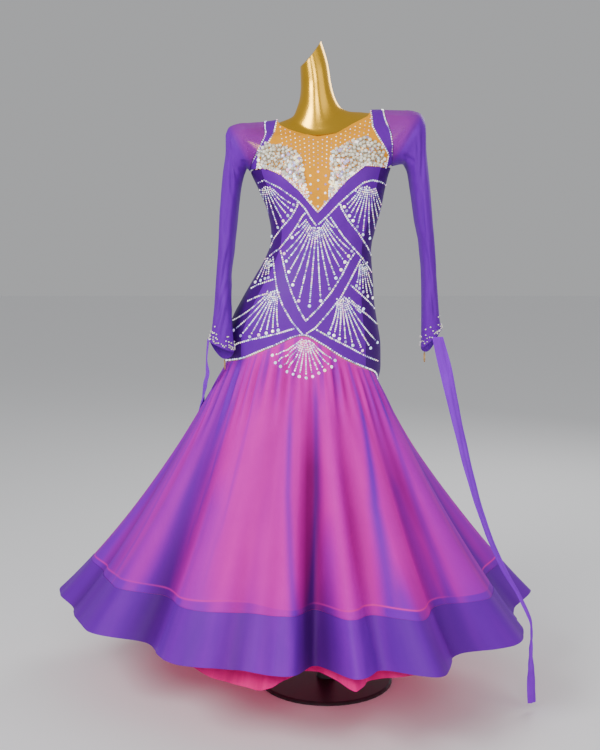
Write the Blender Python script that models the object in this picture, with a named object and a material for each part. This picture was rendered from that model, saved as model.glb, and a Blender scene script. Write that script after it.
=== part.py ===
"""Ballroom dance dress on a limbless dress form with a pole stand.

Metres in Blender, +Z up, the front faces -Y. The origin is the centre of the stand's underside. Tables are in
millimetres and degrees. Angles run round the body from the wearer's left side, 0, with the front at -90.
"""

import math

import bmesh
import bpy
import numpy as np

MM = 0.001
GAP = 0.3  # between pieces at a seam
EDGE = 0.35  # taken off a panel's edge where it meets a sloping seam
HIP_LIFT = 1.0  # bodice above the hip seam's line
WALL = 1.3  # cloth
CLEAR = 0.6  # cloth out of the body's nominal skin
FORM_INSET = 2.5  # form's skin inside it
STUB_INSET = 6.0  # more at the arm stubs, inside the sleeves
NECK_INSET, NECK_FROM, NECK_TO = 1.4, 1300, 1390  # more at the neckline
STUB_FROM = 96.0  # from the centre, where that begins
STUB_EASE = 40.0  # the run over which that comes in
LAID = 0.9  # panel to what lies on it

# Stand
BASE_RADIUS = 165.0
BASE_THICK = 9.0
COLLAR_RADIUS = 24.0
COLLAR_HEIGHT = 34.0
POLE_RADIUS = 9.5
POLE_SIDES = 16
BASE_SIDES = 40

# The form's sections, from its foot to the neck's cut. roll is the slope to the wearer's left, dip how far the
# front falls below the sides.
# height, centre_x, half_width, centre_y, front, back, square, roll, dip
BODY_ROWS = (
    (690, -46, 128, 6, 78, 92, 2.2, 0.0, 0),
    (706, -50, 148, 6, 92, 108, 2.2, 0.0, 0),
    (750, -56, 170, 6, 106, 122, 2.2, -0.04, 0),
    (800, -57, 185, 4, 114, 128, 2.2, -0.05, 0),
    (855, -57, 184, 2, 117, 126, 2.2, -0.05, 0),
    (904, -53, 172, 0, 114, 116, 2.2, -0.04, 0),
    (952, -45, 156, 0, 108, 104, 2.2, -0.03, 0),
    (1000, -33, 141, 0, 101, 94, 2.2, -0.02, 0),
    (1047, -22, 126, 0, 95, 88, 2.2, -0.01, 0),
    (1085, -15, 119, 0, 93, 85, 2.2, 0.0, 0),
    (1118, -10, 122, 0, 95, 87, 2.2, 0.01, 0),
    (1166, -8, 133, 0, 101, 95, 2.2, 0.01, 0),
    (1213, -13, 147, 0, 108, 103, 2.3, 0.01, 0),
    (1250, -16, 160, 0, 108, 108, 2.4, 0.03, 0),
    (1280, -14, 174, 0, 101, 108, 2.6, 0.05, 0),
    (1310, -8, 198, 0, 92, 103, 2.9, 0.06, 6),
    (1340, -5, 215, 0, 82, 94, 3.0, 0.07, 18),
    (1360, -4, 223, 0, 74, 84, 3.0, 0.075, 29),
    (1372, -4, 218, 0, 68, 77, 2.9, 0.075, 35),
    (1378.5, -5, 192, 0, 62, 70, 2.7, 0.08, 40),
    (1383, -8, 150, 0, 57, 64, 2.5, 0.095, 44),
    (1386.5, -12, 98, 2, 53, 58, 2.3, 0.11, 45),
    (1393, -17, 66, 4, 50, 54, 2.1, 0.09, 44),
    (1408, -22, 52, 6, 47, 49, 2.0, 0.02, 38),
    (1430, -25, 43, 8, 45, 46, 2.0, 0.05, 30),
    (1456, -28, 38, 10, 44, 45, 2.0, 0.2, 20),
    (1484, -31, 35, 12, 43, 45, 2.0, 0.5, 14),
    (1528, -40, 27, 12, 40, 43, 2.0, 1.1, 10),
)
SHOULDER_X, NECK_REACH = -12, 70  # the ridge runs beyond the neck from here
BACK_DIP = 0.15  # of dip, at the back
BUST_HEIGHT, BUST_ANGLE, BUST_FULL = 1222, 27, 0.12
BUST_WIDE, BUST_TALL = 22, 52
FORM_RINGS = (690, 706, 740, 768, 800, 845, 890, 940, 990, 1040, 1085, 1130, 1175, 1205, 1235, 1265, 1295, 1322, 1345,
              1362, 1372, 1378.5, 1383, 1386.5, 1393, 1408, 1431, 1458, 1488, 1528)
FORM_SIDES = 30

# The hip seam, where the skirt joins. angle, height
HIP_ROWS = ((-180, 792), (-142, 808), (-114, 844), (-90, 876), (-77, 858), (-62, 829), (-46, 808), (-28, 791),
            (0, 757), (45, 778), (90, 802), (135, 800), (180, 792))
PRINCESS = 40  # degrees from each side to its front seam
BODICE_ROWS = 15
BACK_SEAM = 38  # degrees from each side to its back seam
ARM_LOW = 1262  # underarm
ARM_TOP = 1383.8  # shoulder seam, where the section is as wide as the armhole
ARM_LOW_X, ARM_TOP_X = 166, 141  # from the centre to the armhole
SIDE_TOP_RIGHT, SIDE_TOP_LEFT = 1262.2, 1258.2  # at the front seams

# Edges seen from the front. x, z
NECKLINE = ((-119, 1374), (-112, 1361), (-90, 1349), (-51, 1336), (-24, 1331), (18, 1338), (57, 1362), (92, 1380), (101, 1393))
YOKE_EDGE = ((-163, 1260), (-143, 1259), (-108, 1244), (-65, 1206), (-24, 1158), (-4, 1181), (42, 1232), (83, 1264), (132, 1263))
STRAP_IN_RIGHT = ((-119, 1374), (-125, 1341), (-136, 1320), (-158, 1292), (-163, 1260))
STRAP_IN_LEFT = ((101, 1393), (103, 1352), (112, 1334), (138, 1292), (132, 1263))
STRAP_FOOT = 1265
STRAP_BACK = 1303  # its end behind
STRAP_ROWS_FRONT, STRAP_ROWS_BACK = 8, 5
STRAP_GAP = 1.9  # strap to yoke
STRAP_SIDE = 0.75  # strap to sleeve
PEARLS_RIGHT = (((-161, 1292), (-143, 1314), (-97, 1307), (-63, 1284)), ((-158, 1264), (-133, 1259), (-94, 1241), (-51, 1220)))
PEARLS_LEFT = (((8, 1294), (49, 1316), (84, 1331), (122, 1310)), ((3, 1204), (41, 1238), (83, 1267), (129, 1267)))
BEAD_RISE = 2.4

# Sleeve sections below the armhole. The outer and inner points are seen from the front, deep is across them.
# outer_x, outer_z, inner_x, inner_z, deep, centre_y
SLEEVE_RIGHT_ROWS = (
    (-196, 1373, -190, 1262, 82, 0),
    (-226, 1364, -194, 1254, 78, 0),
    (-238, 1338, -199, 1240, 74, 0),
    (-240, 1300, -205, 1214, 69, -2),
    (-247, 1250, -209, 1180, 64, -4),
    (-253, 1180, -213, 1136, 59, -6),
    (-257, 1100, -219, 1080, 54, -16),
    (-262, 1020, -227, 1010, 48, -36),
    (-266, 940, -226, 934, 42, -62),
    (-271, 890, -222, 882, 38, -80),
    (-278, 864, -219, 838, 36, -88),
)
SLEEVE_LEFT_ROWS = (
    (186, 1397, 178, 1272, 82, 0),
    (217, 1389, 184, 1264, 78, 0),
    (229, 1362, 190, 1248, 74, 0),
    (231, 1316, 195, 1216, 69, -2),
    (239, 1240, 200, 1184, 64, -4),
    (246, 1170, 207, 1140, 59, -6),
    (252, 1100, 218, 1084, 54, -8),
    (259, 1020, 225, 1012, 48, -8),
    (265, 952, 226, 946, 42, -6),
    (270, 905, 226, 892, 38, -4),
    (276, 884, 227, 838, 36, -2),
)
SLEEVE_SIDES = 18
SLEEVE_SQUARE = 2.5
CUFF_POINT = 34  # how far the cuff's back falls to its point
LOOP_RADIUS, LOOP_CORD = 12.0, 1.2

# The skirt. Its hem is a ring of flutes about this centre.
HEM_X, HEM_Y, HEM_Z = -75, 0, 205
HEM_MEAN = 522
HEM_LIFT = 0.10  # of a flute's depth, how far its crest rises
FLARE = 0.16  # of the skirt's spread, held back to the hem
FLUTE_START = 1.35
FLUTE_CUTS = 3
# angle, radius
FLUTE_ROWS = ((-188, 606), (-171, 545), (-156, 528), (-141, 432), (-122, 484), (-106, 450), (-92, 478), (-84, 400),
              (-75, 520), (-68, 478), (-59, 586), (-46, 506), (-32, 588), (-9, 532), (8, 600), (26, 522), (44, 590),
              (62, 500), (80, 585), (98, 498), (116, 588), (134, 508), (152, 590), (163, 545))
SKIRT_STEPS = (0.0, 0.08, 0.2, 0.38, 0.6, 0.845)
BAND_STEPS = (0.845, 0.925, 1.0)
INNER_STEPS = (0.08, 0.2, 0.38, 0.6, 0.835)
UNDER_STEPS = (0.2, 0.38, 0.6, 0.845, 1.0)
# How much lower than the skirt's hem the petticoat hangs, as a share of the skirt. angle, drop
UNDER_ROWS = ((-180, -0.01), (-128, -0.01), (-112, 0.045), (-101, 0.06), (-91, 0.02), (-84, 0.03), (-76, 0.045), (-66, 0.035),
              (-58, -0.01), (0, 0.0), (60, 0.02), (120, 0.0), (180, -0.01))
INNER_LOOSE, UNDER_LOOSE = 8, 30  # how far the inner layers hang in, at the hem
UNDER_WAVES, UNDER_WAVE = 18, 6
LAYER_STEP = 2.7  # between layers where they are sewn in
BAND_PROUD = 0.5  # the doubled hem band stands out of the skirt

# Float routes. x, y, z, across_x, across_y, half_width
FLOAT_LEFT_ROWS = (
    (262, -38.5, 867, 1, 0.05, 13),
    (281, -48, 790, 1, 0.1, 15),
    (298, -58, 712, 1, 0.3, 15),
    (320, -66, 620, 1, 0.5, 13),
    (345, -78, 520, 1, 0.8, 12),
    (374, -92, 425, 1, 1, 12),
    (414, -108, 330, 1, 1.4, 12),
    (459, -130, 250, 0.6, 1.6, 12),
    (478, -160, 196, 0.5, 1.6, 12),
    (477, -170, 120, 0.7, 1, 12),
    (479, -175, 60, 1, 0.6, 13),
    (481, -180, 16, 1, 0.5, 13),
)
FLOAT_RIGHT_ROWS = (
    (-277.6, -87, 867, 0, 1, 7),
    (-281.5, -84, 822, -0.1, 1, 12),
    (-283, -62, 784, -0.4, 1, 14),
    (-293, -18, 748, -0.4, 1, 14),
)
FLOAT_LAID_ANGLES = (166, 157, 152, 151, 151)  # the same float then lies on the skirt's back
FLOAT_LAID_SHARES = (0.2, 0.32, 0.46, 0.6, 0.73)
FLOAT_LAID_OUT = 7.0
FLOAT_WALL = 1.0

COLOURS = {
    "form": ((0.80, 0.52, 0.12, 1), 0.25, 0.9),
    "stand": ((0.05, 0.05, 0.055, 1), 0.35, 0.8),
    "mesh": ((0.80, 0.46, 0.17, 1), 0.7, 0.0),
    "satin": ((0.16, 0.055, 0.45, 1), 0.45, 0.0),
    "sheer": ((0.22, 0.07, 0.55, 1), 0.6, 0.0),
    "pearl": ((0.85, 0.80, 0.66, 1), 0.25, 0.0),
    "elastic": ((0.75, 0.5, 0.15, 1), 0.5, 0.2),
    "chiffon": ((0.42, 0.05, 0.52, 1), 0.6, 0.0),
    "band": ((0.30, 0.05, 0.68, 1), 0.5, 0.0),
    "pink": ((0.90, 0.06, 0.60, 1), 0.6, 0.0),
    "net": ((0.88, 0.06, 0.28, 1), 0.7, 0.0),
}


def clear_scene():
    for thing in list(bpy.data.objects):
        bpy.data.objects.remove(thing)


def curve(rows):
    """A smooth function through a table's rows. The first column is where, the rest are the values."""
    table = np.array(rows, float)
    at, values = table[:, 0], table[:, 1:]
    slopes = np.diff(values, axis=0) / np.diff(at)[:, None]
    before, after = slopes[:-1], slopes[1:]
    agree = before * after > 0
    tangents = np.zeros_like(values)
    tangents[1:-1] = np.where(agree, 2 * before * after / np.where(agree, before + after, 1), 0)
    tangents[0], tangents[-1] = slopes[0], slopes[-1]

    def value(where):
        where = min(max(where, at[0]), at[-1])
        i = min(max(int(np.searchsorted(at, where)) - 1, 0), len(at) - 2)
        span = at[i + 1] - at[i]
        t = (where - at[i]) / span
        return (
            values[i] * (2 * t**3 - 3 * t**2 + 1)
            + tangents[i] * span * (t**3 - 2 * t**2 + t)
            + values[i + 1] * (3 * t**2 - 2 * t**3)
            + tangents[i + 1] * span * (t**3 - t**2)
        )

    return value


BODY = curve(BODY_ROWS)
HIP = curve(HIP_ROWS)


def fullness(angle, height):
    """How far the bust swells the form, as a factor."""
    tall = math.exp(-(((height - BUST_HEIGHT) / BUST_TALL) ** 2))
    factor = 1.0
    for side in (-90 - BUST_ANGLE, -90 + BUST_ANGLE):
        off = (angle - side + 180) % 360 - 180
        factor *= 1 + BUST_FULL * tall * math.exp(-((off / BUST_WIDE) ** 2))
    return factor


def body_point(angle, height):
    """A point on the form's skin."""
    centre_x, half, centre_y, front, back, square, roll, dip = BODY(height)
    c, s = math.cos(math.radians(angle)), math.sin(math.radians(angle))
    reach = (abs(c) ** square + abs(s) ** square) ** (-1 / square)
    reach *= fullness(angle, height)
    x = centre_x + half * reach * c
    y = centre_y + (front if s < 0 else back) * reach * s
    fall = dip * (max(0, -s) ** 1.5 + BACK_DIP * max(0, s) ** 1.5)
    return np.array((x, y, height + roll * (x - centre_x) - fall))


def skin(angle, height, out):
    """A point so far out of the form's skin."""
    along = body_point(angle + 0.5, height) - body_point(angle - 0.5, height)
    up = body_point(angle, height + 1) - body_point(angle, height - 1)
    normal = np.cross(along, up)
    return body_point(angle, height) + out * normal / np.linalg.norm(normal)


def front_angle(x, height):
    """The angle on the front half where the form is at x."""
    row = BODY(height)
    swell = 1.0
    for _ in range(4):
        c = min(max((x - row[0]) / (row[1] * swell), -0.9995), 0.9995)
        angle = math.degrees(math.atan2(-((1 - abs(c) ** row[5]) ** (1 / row[5])), c))
        swell = fullness(angle, height)
    return angle


def front_height(x, z, face=1):
    """The section whose front, at x, lies at z. With face -1, its back."""
    low, high = 760.0, ridge_height(x) if abs(x - SHOULDER_X) > NECK_REACH else 1400.0
    for _ in range(26):
        middle = (low + high) / 2
        if body_point(face * front_angle(x, middle), middle)[2] < z:
            low = middle
        else:
            high = middle
    return (low + high) / 2


def front_skin(x, z, out):
    height = front_height(x, z)
    return skin(front_angle(x, height), height, out)


def resample(points, count):
    """So many points, evenly spaced along a line through the given ones."""
    points = np.array(points, float)
    steps = np.linalg.norm(np.diff(points, axis=0), axis=1)
    run = np.concatenate(([0], np.cumsum(steps)))
    at = np.linspace(0, run[-1], count)
    return np.stack([np.interp(at, run, points[:, i]) for i in range(points.shape[1])], axis=1)


def cut(line, pieces):
    """A line's points, with each stretch between them cut into so many pieces."""
    points = []
    for a, b in zip(line, line[1:]):
        points += [tuple(a[i] + (b[i] - a[i]) * n / pieces for i in range(2)) for n in range(pieces)]
    return points + [tuple(line[-1])]


def coons(top, bottom, left, right, across, down):
    """A grid of front-view points between four edges. An edge that has the right count keeps its points."""
    def fitted(line, count):
        return np.array(line, float) if len(line) == count else resample(line, count)

    top, bottom = fitted(top, across + 1), fitted(bottom, across + 1)
    left, right = fitted(left, down + 1), fitted(right, down + 1)
    grid = np.zeros((down + 1, across + 1, 2))
    for r in range(down + 1):
        v = r / down
        for c in range(across + 1):
            u = c / across
            corners = (1 - u) * (1 - v) * top[0] + u * (1 - v) * top[-1] + (1 - u) * v * bottom[0] + u * v * bottom[-1]
            grid[r, c] = (1 - v) * top[c] + v * bottom[c] + (1 - u) * left[r] + u * right[r] - corners
    return grid


def material(name):
    found = bpy.data.materials.get(name)
    if found:
        return found
    colour, rough, metal = COLOURS[name]
    made = bpy.data.materials.new(name)
    made.use_nodes = True
    shader = made.node_tree.nodes["Principled BSDF"]
    shader.inputs["Base Color"].default_value = colour
    shader.inputs["Roughness"].default_value = rough
    shader.inputs["Metallic"].default_value = metal
    made.diffuse_color = colour
    return made


def add_mesh(name, points, faces, finish):
    """A named solid from points in millimetres, with its faces turned outwards."""
    mesh = bpy.data.meshes.new(name)
    mesh.from_pydata([tuple(float(v) * MM for v in p) for p in points], [], faces)
    work = bmesh.new()
    work.from_mesh(mesh)
    bmesh.ops.recalc_face_normals(work, faces=work.faces)
    work.to_mesh(mesh)
    work.free()
    mesh.materials.append(material(finish))
    mesh.shade_smooth()
    thing = bpy.data.objects.new(name, mesh)
    bpy.context.scene.collection.objects.link(thing)
    return thing


def strips(upper, lower, loop):
    """Triangles between two rows of point numbers."""
    count = len(upper)
    faces = []
    for c in range(count if loop else count - 1):
        d = (c + 1) % count
        faces += [(upper[c], lower[c], lower[d]), (upper[c], lower[d], upper[d])]
    return faces


def shell(name, outer, inner, finish, loop=False):
    """A closed wall between two grids of points. With loop, each row closes on itself as a ring."""
    rows, cols = outer.shape[:2]
    points = np.concatenate((outer.reshape(-1, 3), inner.reshape(-1, 3)))
    outside = np.arange(rows * cols).reshape(rows, cols)
    inside = outside + rows * cols
    faces = []
    for r in range(rows - 1):
        faces += strips(outside[r], outside[r + 1], loop)
        faces += [face[::-1] for face in strips(inside[r], inside[r + 1], loop)]
    faces += strips(inside[0], outside[0], loop) + strips(outside[-1], inside[-1], loop)
    if not loop:
        faces += strips(outside[:, 0], inside[:, 0], False) + strips(inside[:, -1], outside[:, -1], False)
    return add_mesh(name, points, faces, finish)


def stack(name, rings, finish):
    """A solid from rings of points, closed at both ends by a point in the middle."""
    count = len(rings[0])
    points = [p for ring in rings for p in ring]
    numbers = [list(range(i * count, (i + 1) * count)) for i in range(len(rings))]
    faces = []
    for lower, upper in zip(numbers, numbers[1:]):
        faces += strips(upper, lower, True)
    for ring in (0, -1):
        points.append(np.mean(rings[ring], axis=0))
        middle = len(points) - 1
        faces += [(numbers[ring][c], numbers[ring][(c + 1) % count], middle) for c in range(count)]
    return add_mesh(name, points, faces, finish)


def round_ring(x, y, z, radius, sides):
    turns = [2 * math.pi * i / sides for i in range(sides)]
    return [np.array((x + radius * math.cos(t), y + radius * math.sin(t), z)) for t in turns]


def build_stand():
    plate = ((0, BASE_RADIUS), (BASE_THICK - 3, BASE_RADIUS), (BASE_THICK, BASE_RADIUS - 4), (BASE_THICK, COLLAR_RADIUS),
             (COLLAR_HEIGHT, COLLAR_RADIUS - 5))
    stack("stand_base", [round_ring(0, 0, z, r, BASE_SIDES) for z, r in plate], "stand")
    foot, head = COLLAR_HEIGHT + GAP, BODY_ROWS[0][0] - GAP
    stack("stand_pole", [round_ring(0, 0, z, POLE_RADIUS, POLE_SIDES) for z in (foot, head)], "stand")


def build_form():
    def form_point(angle, height):
        beyond = abs(body_point(angle, height)[0] - BODY(height)[0]) - STUB_FROM
        share = min(max(beyond / STUB_EASE, 0), 1) if height > ARM_LOW else 0
        neck = NECK_INSET if NECK_FROM < height < NECK_TO else 0
        point = skin(angle, height, -FORM_INSET - neck - STUB_INSET * share)
        if height == FORM_RINGS[0]:
            point[2] = height
        return point

    angles = [360 * i / FORM_SIDES for i in range(FORM_SIDES)]
    stack("form_torso", [[form_point(a, h) for a in angles] for h in FORM_RINGS], "form")


def front_panel(name, grid, finish, out=CLEAR, wall=WALL, rise=None):
    """A panel on the form's front, from a grid of front-view points. rise lifts outer points, for beads."""
    inner = np.array([[front_skin(x, z, out) for x, z in row] for row in grid])
    outer = np.array([
        [front_skin(x, z, out + wall + (rise(r, c) if rise else 0)) for c, (x, z) in enumerate(row)]
        for r, row in enumerate(grid)
    ])
    shell(name, outer, inner, finish)


def princess_line(angle, top):
    """A front seam from the underarm to the hip, seen from the front."""
    heights = np.linspace(top - GAP, float(HIP(angle)[0]) + HIP_LIFT, BODICE_ROWS + 1)
    return [tuple(body_point(angle, h)[[0, 2]]) for h in heights]


def hip_line(first, last):
    """The front of the hip seam, just above it, seen from the front."""
    angles = np.linspace(first, last, 60)
    return [tuple(body_point(a, float(HIP(a)[0]) + HIP_LIFT)[[0, 2]]) for a in angles]


def trimmed(line, low, high):
    """The part of a front-view line between two x."""
    line = np.array(line, float)
    inside = [tuple(p) for p in line if low < p[0] < high]
    return [(low, np.interp(low, line[:, 0], line[:, 1]))] + inside + [(high, np.interp(high, line[:, 0], line[:, 1]))]


def moved(line, dx, dz):
    return [(x + dx, z + dz) for x, z in line]


def build_front():
    top = moved(NECKLINE, 0, 0)
    foot = moved(YOKE_EDGE, 0, EDGE)
    right_side, left_side = moved(STRAP_IN_RIGHT, EDGE, 0), moved(STRAP_IN_LEFT, -EDGE, 0)
    top[0], top[-1] = right_side[0], left_side[0]
    foot[0] = right_side[-1] = (YOKE_EDGE[0][0] + EDGE, YOKE_EDGE[0][1] + EDGE)
    foot[-1] = left_side[-1] = (YOKE_EDGE[-1][0] - EDGE, YOKE_EDGE[-1][1] + EDGE)
    front_panel("yoke_front", coons(top, cut(foot, 2), right_side, left_side, 16, 8), "mesh")

    right_seam = princess_line(PRINCESS - 180 + 0.12, SIDE_TOP_RIGHT)
    left_seam = princess_line(-PRINCESS - 0.12, SIDE_TOP_LEFT)
    upper = cut(trimmed(moved(YOKE_EDGE, 0, -EDGE), right_seam[0][0], left_seam[0][0]), 2)
    right_seam[0], left_seam[0] = upper[0], upper[-1]
    lower = hip_line(PRINCESS - 180 + 0.12, -PRINCESS - 0.12)
    lower[0], lower[-1] = right_seam[-1], left_seam[-1]
    front_panel("bodice_front", coons(upper, lower, right_seam, left_seam, len(upper) - 1, BODICE_ROWS), "satin")

    for side, (upper, lower) in (("right", PEARLS_RIGHT), ("left", PEARLS_LEFT)):
        ends = [(upper[i], lower[i]) for i in (0, -1)]
        grid = coons(upper, lower, ends[0], ends[1], 12, 6)
        front_panel(f"bust_beads_{side}", grid, "pearl", CLEAR + WALL + LAID, 0.8,
                    lambda r, c: BEAD_RISE if (r + c) % 2 else 0.0)


def arm_angle(height, side):
    """Where the armhole crosses a section's front. side is -1 on the wearer's right and 1 on the left."""
    share = (height - ARM_LOW) / (ARM_TOP - ARM_LOW)
    row = BODY(height)
    reach = min(ARM_LOW_X + (ARM_TOP_X - ARM_LOW_X) * share, row[1] * 0.9995)
    return front_angle(row[0] + side * reach, height)


def arm_side(side, face, count):
    """Half of an armhole, from the underarm to the shoulder, in even steps, as sections and angles. face is 1 in
    front and -1 behind."""
    turns = np.linspace(0, math.pi, 240)
    heights = (ARM_LOW + ARM_TOP) / 2 - (ARM_TOP - ARM_LOW) / 2 * np.cos(turns)
    angles = [face * arm_angle(h, side) for h in heights]
    points = np.array([body_point(a, h) for a, h in zip(angles, heights)])
    run = np.concatenate(([0], np.cumsum(np.linalg.norm(np.diff(points, axis=0), axis=1))))
    chosen = np.interp(np.linspace(0, run[-1], count + 1), run, heights)
    return [(h, face * arm_angle(h, side)) for h in chosen]


def arm_loop(side, out, gap):
    """The armhole's points, from the underarm over the front to the shoulder and back down behind."""
    half = SLEEVE_SIDES // 2
    places = arm_side(side, 1, half) + arm_side(side, -1, half)[-2:0:-1]
    points = [skin(angle, height, out) for height, angle in places]
    for point in points:
        point[0] += side * gap
    return points


def ridge_height(x):
    """The section whose side reaches x, on the shoulder's ridge."""
    low, high = 1362.0, 1393.0
    for _ in range(24):
        middle = (low + high) / 2
        row = BODY(middle)
        if row[1] > abs(x - row[0]):
            low = middle
        else:
            high = middle
    return (low + high) / 2


def arm_line(side, face, lowest, count):
    """An armhole's x and z from above a section to the shoulder, in even steps."""
    points = [body_point(angle, height)[[0, 2]] for height, angle in arm_side(side, face, 60) if height > lowest]
    return resample(points, count + 1)


def build_straps():
    """Each strap borders its armhole in front, crosses the shoulder and runs down to the back panel."""
    shares = np.linspace(0, 1, 4)
    for side, name in ((-1, "right"), (1, "left")):
        edge = np.array((STRAP_IN_RIGHT if side < 0 else STRAP_IN_LEFT)[::-1], float)
        edge[:, 0] += side * STRAP_GAP
        near_front = resample(edge, STRAP_ROWS_FRONT + 1)
        far_front = arm_line(side, 1, STRAP_FOOT, STRAP_ROWS_FRONT)
        far_back = arm_line(side, -1, STRAP_BACK, STRAP_ROWS_BACK)
        near_back = np.array([(edge[-1, 0], z) for z in np.linspace(far_back[0, 1], edge[-1, 1], STRAP_ROWS_BACK + 1)])
        rows = [(1, near, far) for near, far in zip(near_front[:-1], far_front[:-1])]
        rows += [(0, near_front[-1], far_front[-1])]
        rows += [(-1, near, far) for near, far in zip(near_back[-2::-1], far_back[-2::-1])]

        def point(face, near, far, share, out, side=side):
            far = far - np.array((side * STRAP_SIDE, 0))
            x, z = near + (far - near) * share
            if face == 0:
                return skin(180 if side < 0 else 0, ridge_height(x), out)
            height = front_height(x, z, face)
            return skin(face * front_angle(x, height), height, out)

        outer = np.array([[point(*row, share, CLEAR + WALL) for share in shares] for row in rows])
        inner = np.array([[point(*row, share, CLEAR) for share in shares] for row in rows])
        shell(f"strap_{name}", outer, inner, "satin")


def round_panel(name, first, last, top, columns, rows, finish):
    """A panel round the form between two angles, from the hip seam to top(angle)."""
    def point(angle, share, out):
        foot = float(HIP((angle + 180) % 360 - 180)[0]) + HIP_LIFT
        return skin(angle, foot + (top(angle) - foot) * share, out)

    angles, shares = np.linspace(first, last, columns + 1), np.linspace(1, 0, rows + 1)
    outer = np.array([[point(a, s, CLEAR + WALL) for a in angles] for s in shares])
    inner = np.array([[point(a, s, CLEAR) for a in angles] for s in shares])
    shell(name, outer, inner, finish)


# The top of the side and back panels, angles taken from the side. angle, height
BACK_TOP_ROWS = ((-8, 1257), (0, 1257), (17, 1262.5), (24, 1270.5), (31, 1280.5), (38, 1292), (43, 1298), (90, 1298))
SIDE_TOP_RIGHT_ROWS = ((-40, SIDE_TOP_RIGHT), (-33, 1263.2), (-22, 1263.4), (-14, 1260.5))
SIDE_TOP_LEFT_ROWS = ((-40, SIDE_TOP_LEFT), (-34, 1257.4), (-28, 1257.2), (-22, 1258.6), (-14, 1258.2))


def build_sides_and_back():
    seam = 0.12
    for side, name, front_rows in ((-1, "right", SIDE_TOP_RIGHT_ROWS), (1, "left", SIDE_TOP_LEFT_ROWS)):
        top = curve(front_rows + BACK_TOP_ROWS)

        def turned(angle, side=side):
            return angle if side > 0 else 180 - angle

        def panel_top(angle, side=side, top=top):
            return float(top(angle if side > 0 else 180 - angle)[0]) - GAP

        round_panel(f"bodice_side_{name}", turned(-PRINCESS + seam), turned(BACK_SEAM - seam),
                    panel_top, 12, BODICE_ROWS, "satin")
        round_panel(f"bodice_back_{name}", turned(BACK_SEAM + seam), turned(90 - seam),
                    panel_top, 6, BODICE_ROWS, "satin")


def sleeve_rings(side, out):
    """A sleeve's rings of points, so far out of its inner face."""
    rows = SLEEVE_RIGHT_ROWS if side < 0 else SLEEVE_LEFT_ROWS
    rings = [arm_loop(side, CLEAR + out, GAP)]
    for number, (outer_x, outer_z, inner_x, inner_z, deep, centre_y) in enumerate(rows):
        centre = np.array(((outer_x + inner_x) / 2, centre_y, (outer_z + inner_z) / 2))
        across = np.array(((inner_x - outer_x) / 2, 0, (inner_z - outer_z) / 2))
        half = np.linalg.norm(across)
        across /= half
        ring = []
        for i in range(SLEEVE_SIDES):
            turn = 2 * math.pi * i / SLEEVE_SIDES
            c, s = math.cos(turn), math.sin(turn)
            k = (abs(c) ** SLEEVE_SQUARE + abs(s) ** SLEEVE_SQUARE) ** (-1 / SLEEVE_SQUARE)
            point = centre + across * (half + out - WALL) * k * c + np.array((0, -(deep + out - WALL) * k * s, 0))
            if number == len(rows) - 1:
                point[2] -= CUFF_POINT * max(0, -s) ** 2
            ring.append(point)
        rings.append(ring)
    return np.array(rings)


def loop_solid(name, middle, lean):
    """A finger loop: an upright ring of round cord."""
    rounds, sides = 12, 6
    points = []
    for i in range(rounds):
        turn = 2 * math.pi * i / rounds
        out = np.array((math.cos(turn) * lean[0], math.cos(turn) * lean[1], math.sin(turn)))
        for j in range(sides):
            roll = 2 * math.pi * j / sides
            aside = np.array((-lean[1], lean[0], 0))
            points.append(np.array(middle) + out * (LOOP_RADIUS + LOOP_CORD * math.cos(roll)) + aside * LOOP_CORD * math.sin(roll))
    numbers = np.arange(rounds * sides).reshape(rounds, sides)
    faces = []
    for i in range(rounds):
        faces += strips(numbers[i], numbers[(i + 1) % rounds], True)
    return add_mesh(name, points, faces, "elastic")


def build_sleeves():
    for side, name in ((-1, "right"), (1, "left")):
        outer, inner = sleeve_rings(side, WALL), sleeve_rings(side, 0)
        shell(f"sleeve_{name}", outer, inner, "sheer", loop=True)
        tip = (outer[-1] + inner[-1])[:, 2].argmin()
        point = (outer[-1][tip] + inner[-1][tip]) / 2
        middle = point + np.array((0, 0, -(LOOP_RADIUS + LOOP_CORD + GAP)))
        loop_solid(f"finger_loop_{name}", middle, (0.0, 1.0))


def flute_angles():
    """The skirt's columns: each flute's crest and valley, with even cuts between them."""
    turns = [row[0] for row in FLUTE_ROWS] + [FLUTE_ROWS[0][0] + 360]
    angles = []
    for a, b in zip(turns, turns[1:]):
        angles += [a + (b - a) * i / FLUTE_CUTS for i in range(FLUTE_CUTS)]
    return angles


def hem_radius(angle):
    turns = [row[0] for row in FLUTE_ROWS] + [FLUTE_ROWS[0][0] + 360]
    sizes = [row[1] for row in FLUTE_ROWS] + [FLUTE_ROWS[0][1]]
    angle = (angle - turns[0]) % 360 + turns[0]
    i = min(max(int(np.searchsorted(turns, angle, side="right")) - 1, 0), len(turns) - 2)
    share = (angle - turns[i]) / (turns[i + 1] - turns[i])
    return sizes[i] + (sizes[i + 1] - sizes[i]) * (1 - math.cos(math.pi * share)) / 2


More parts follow.
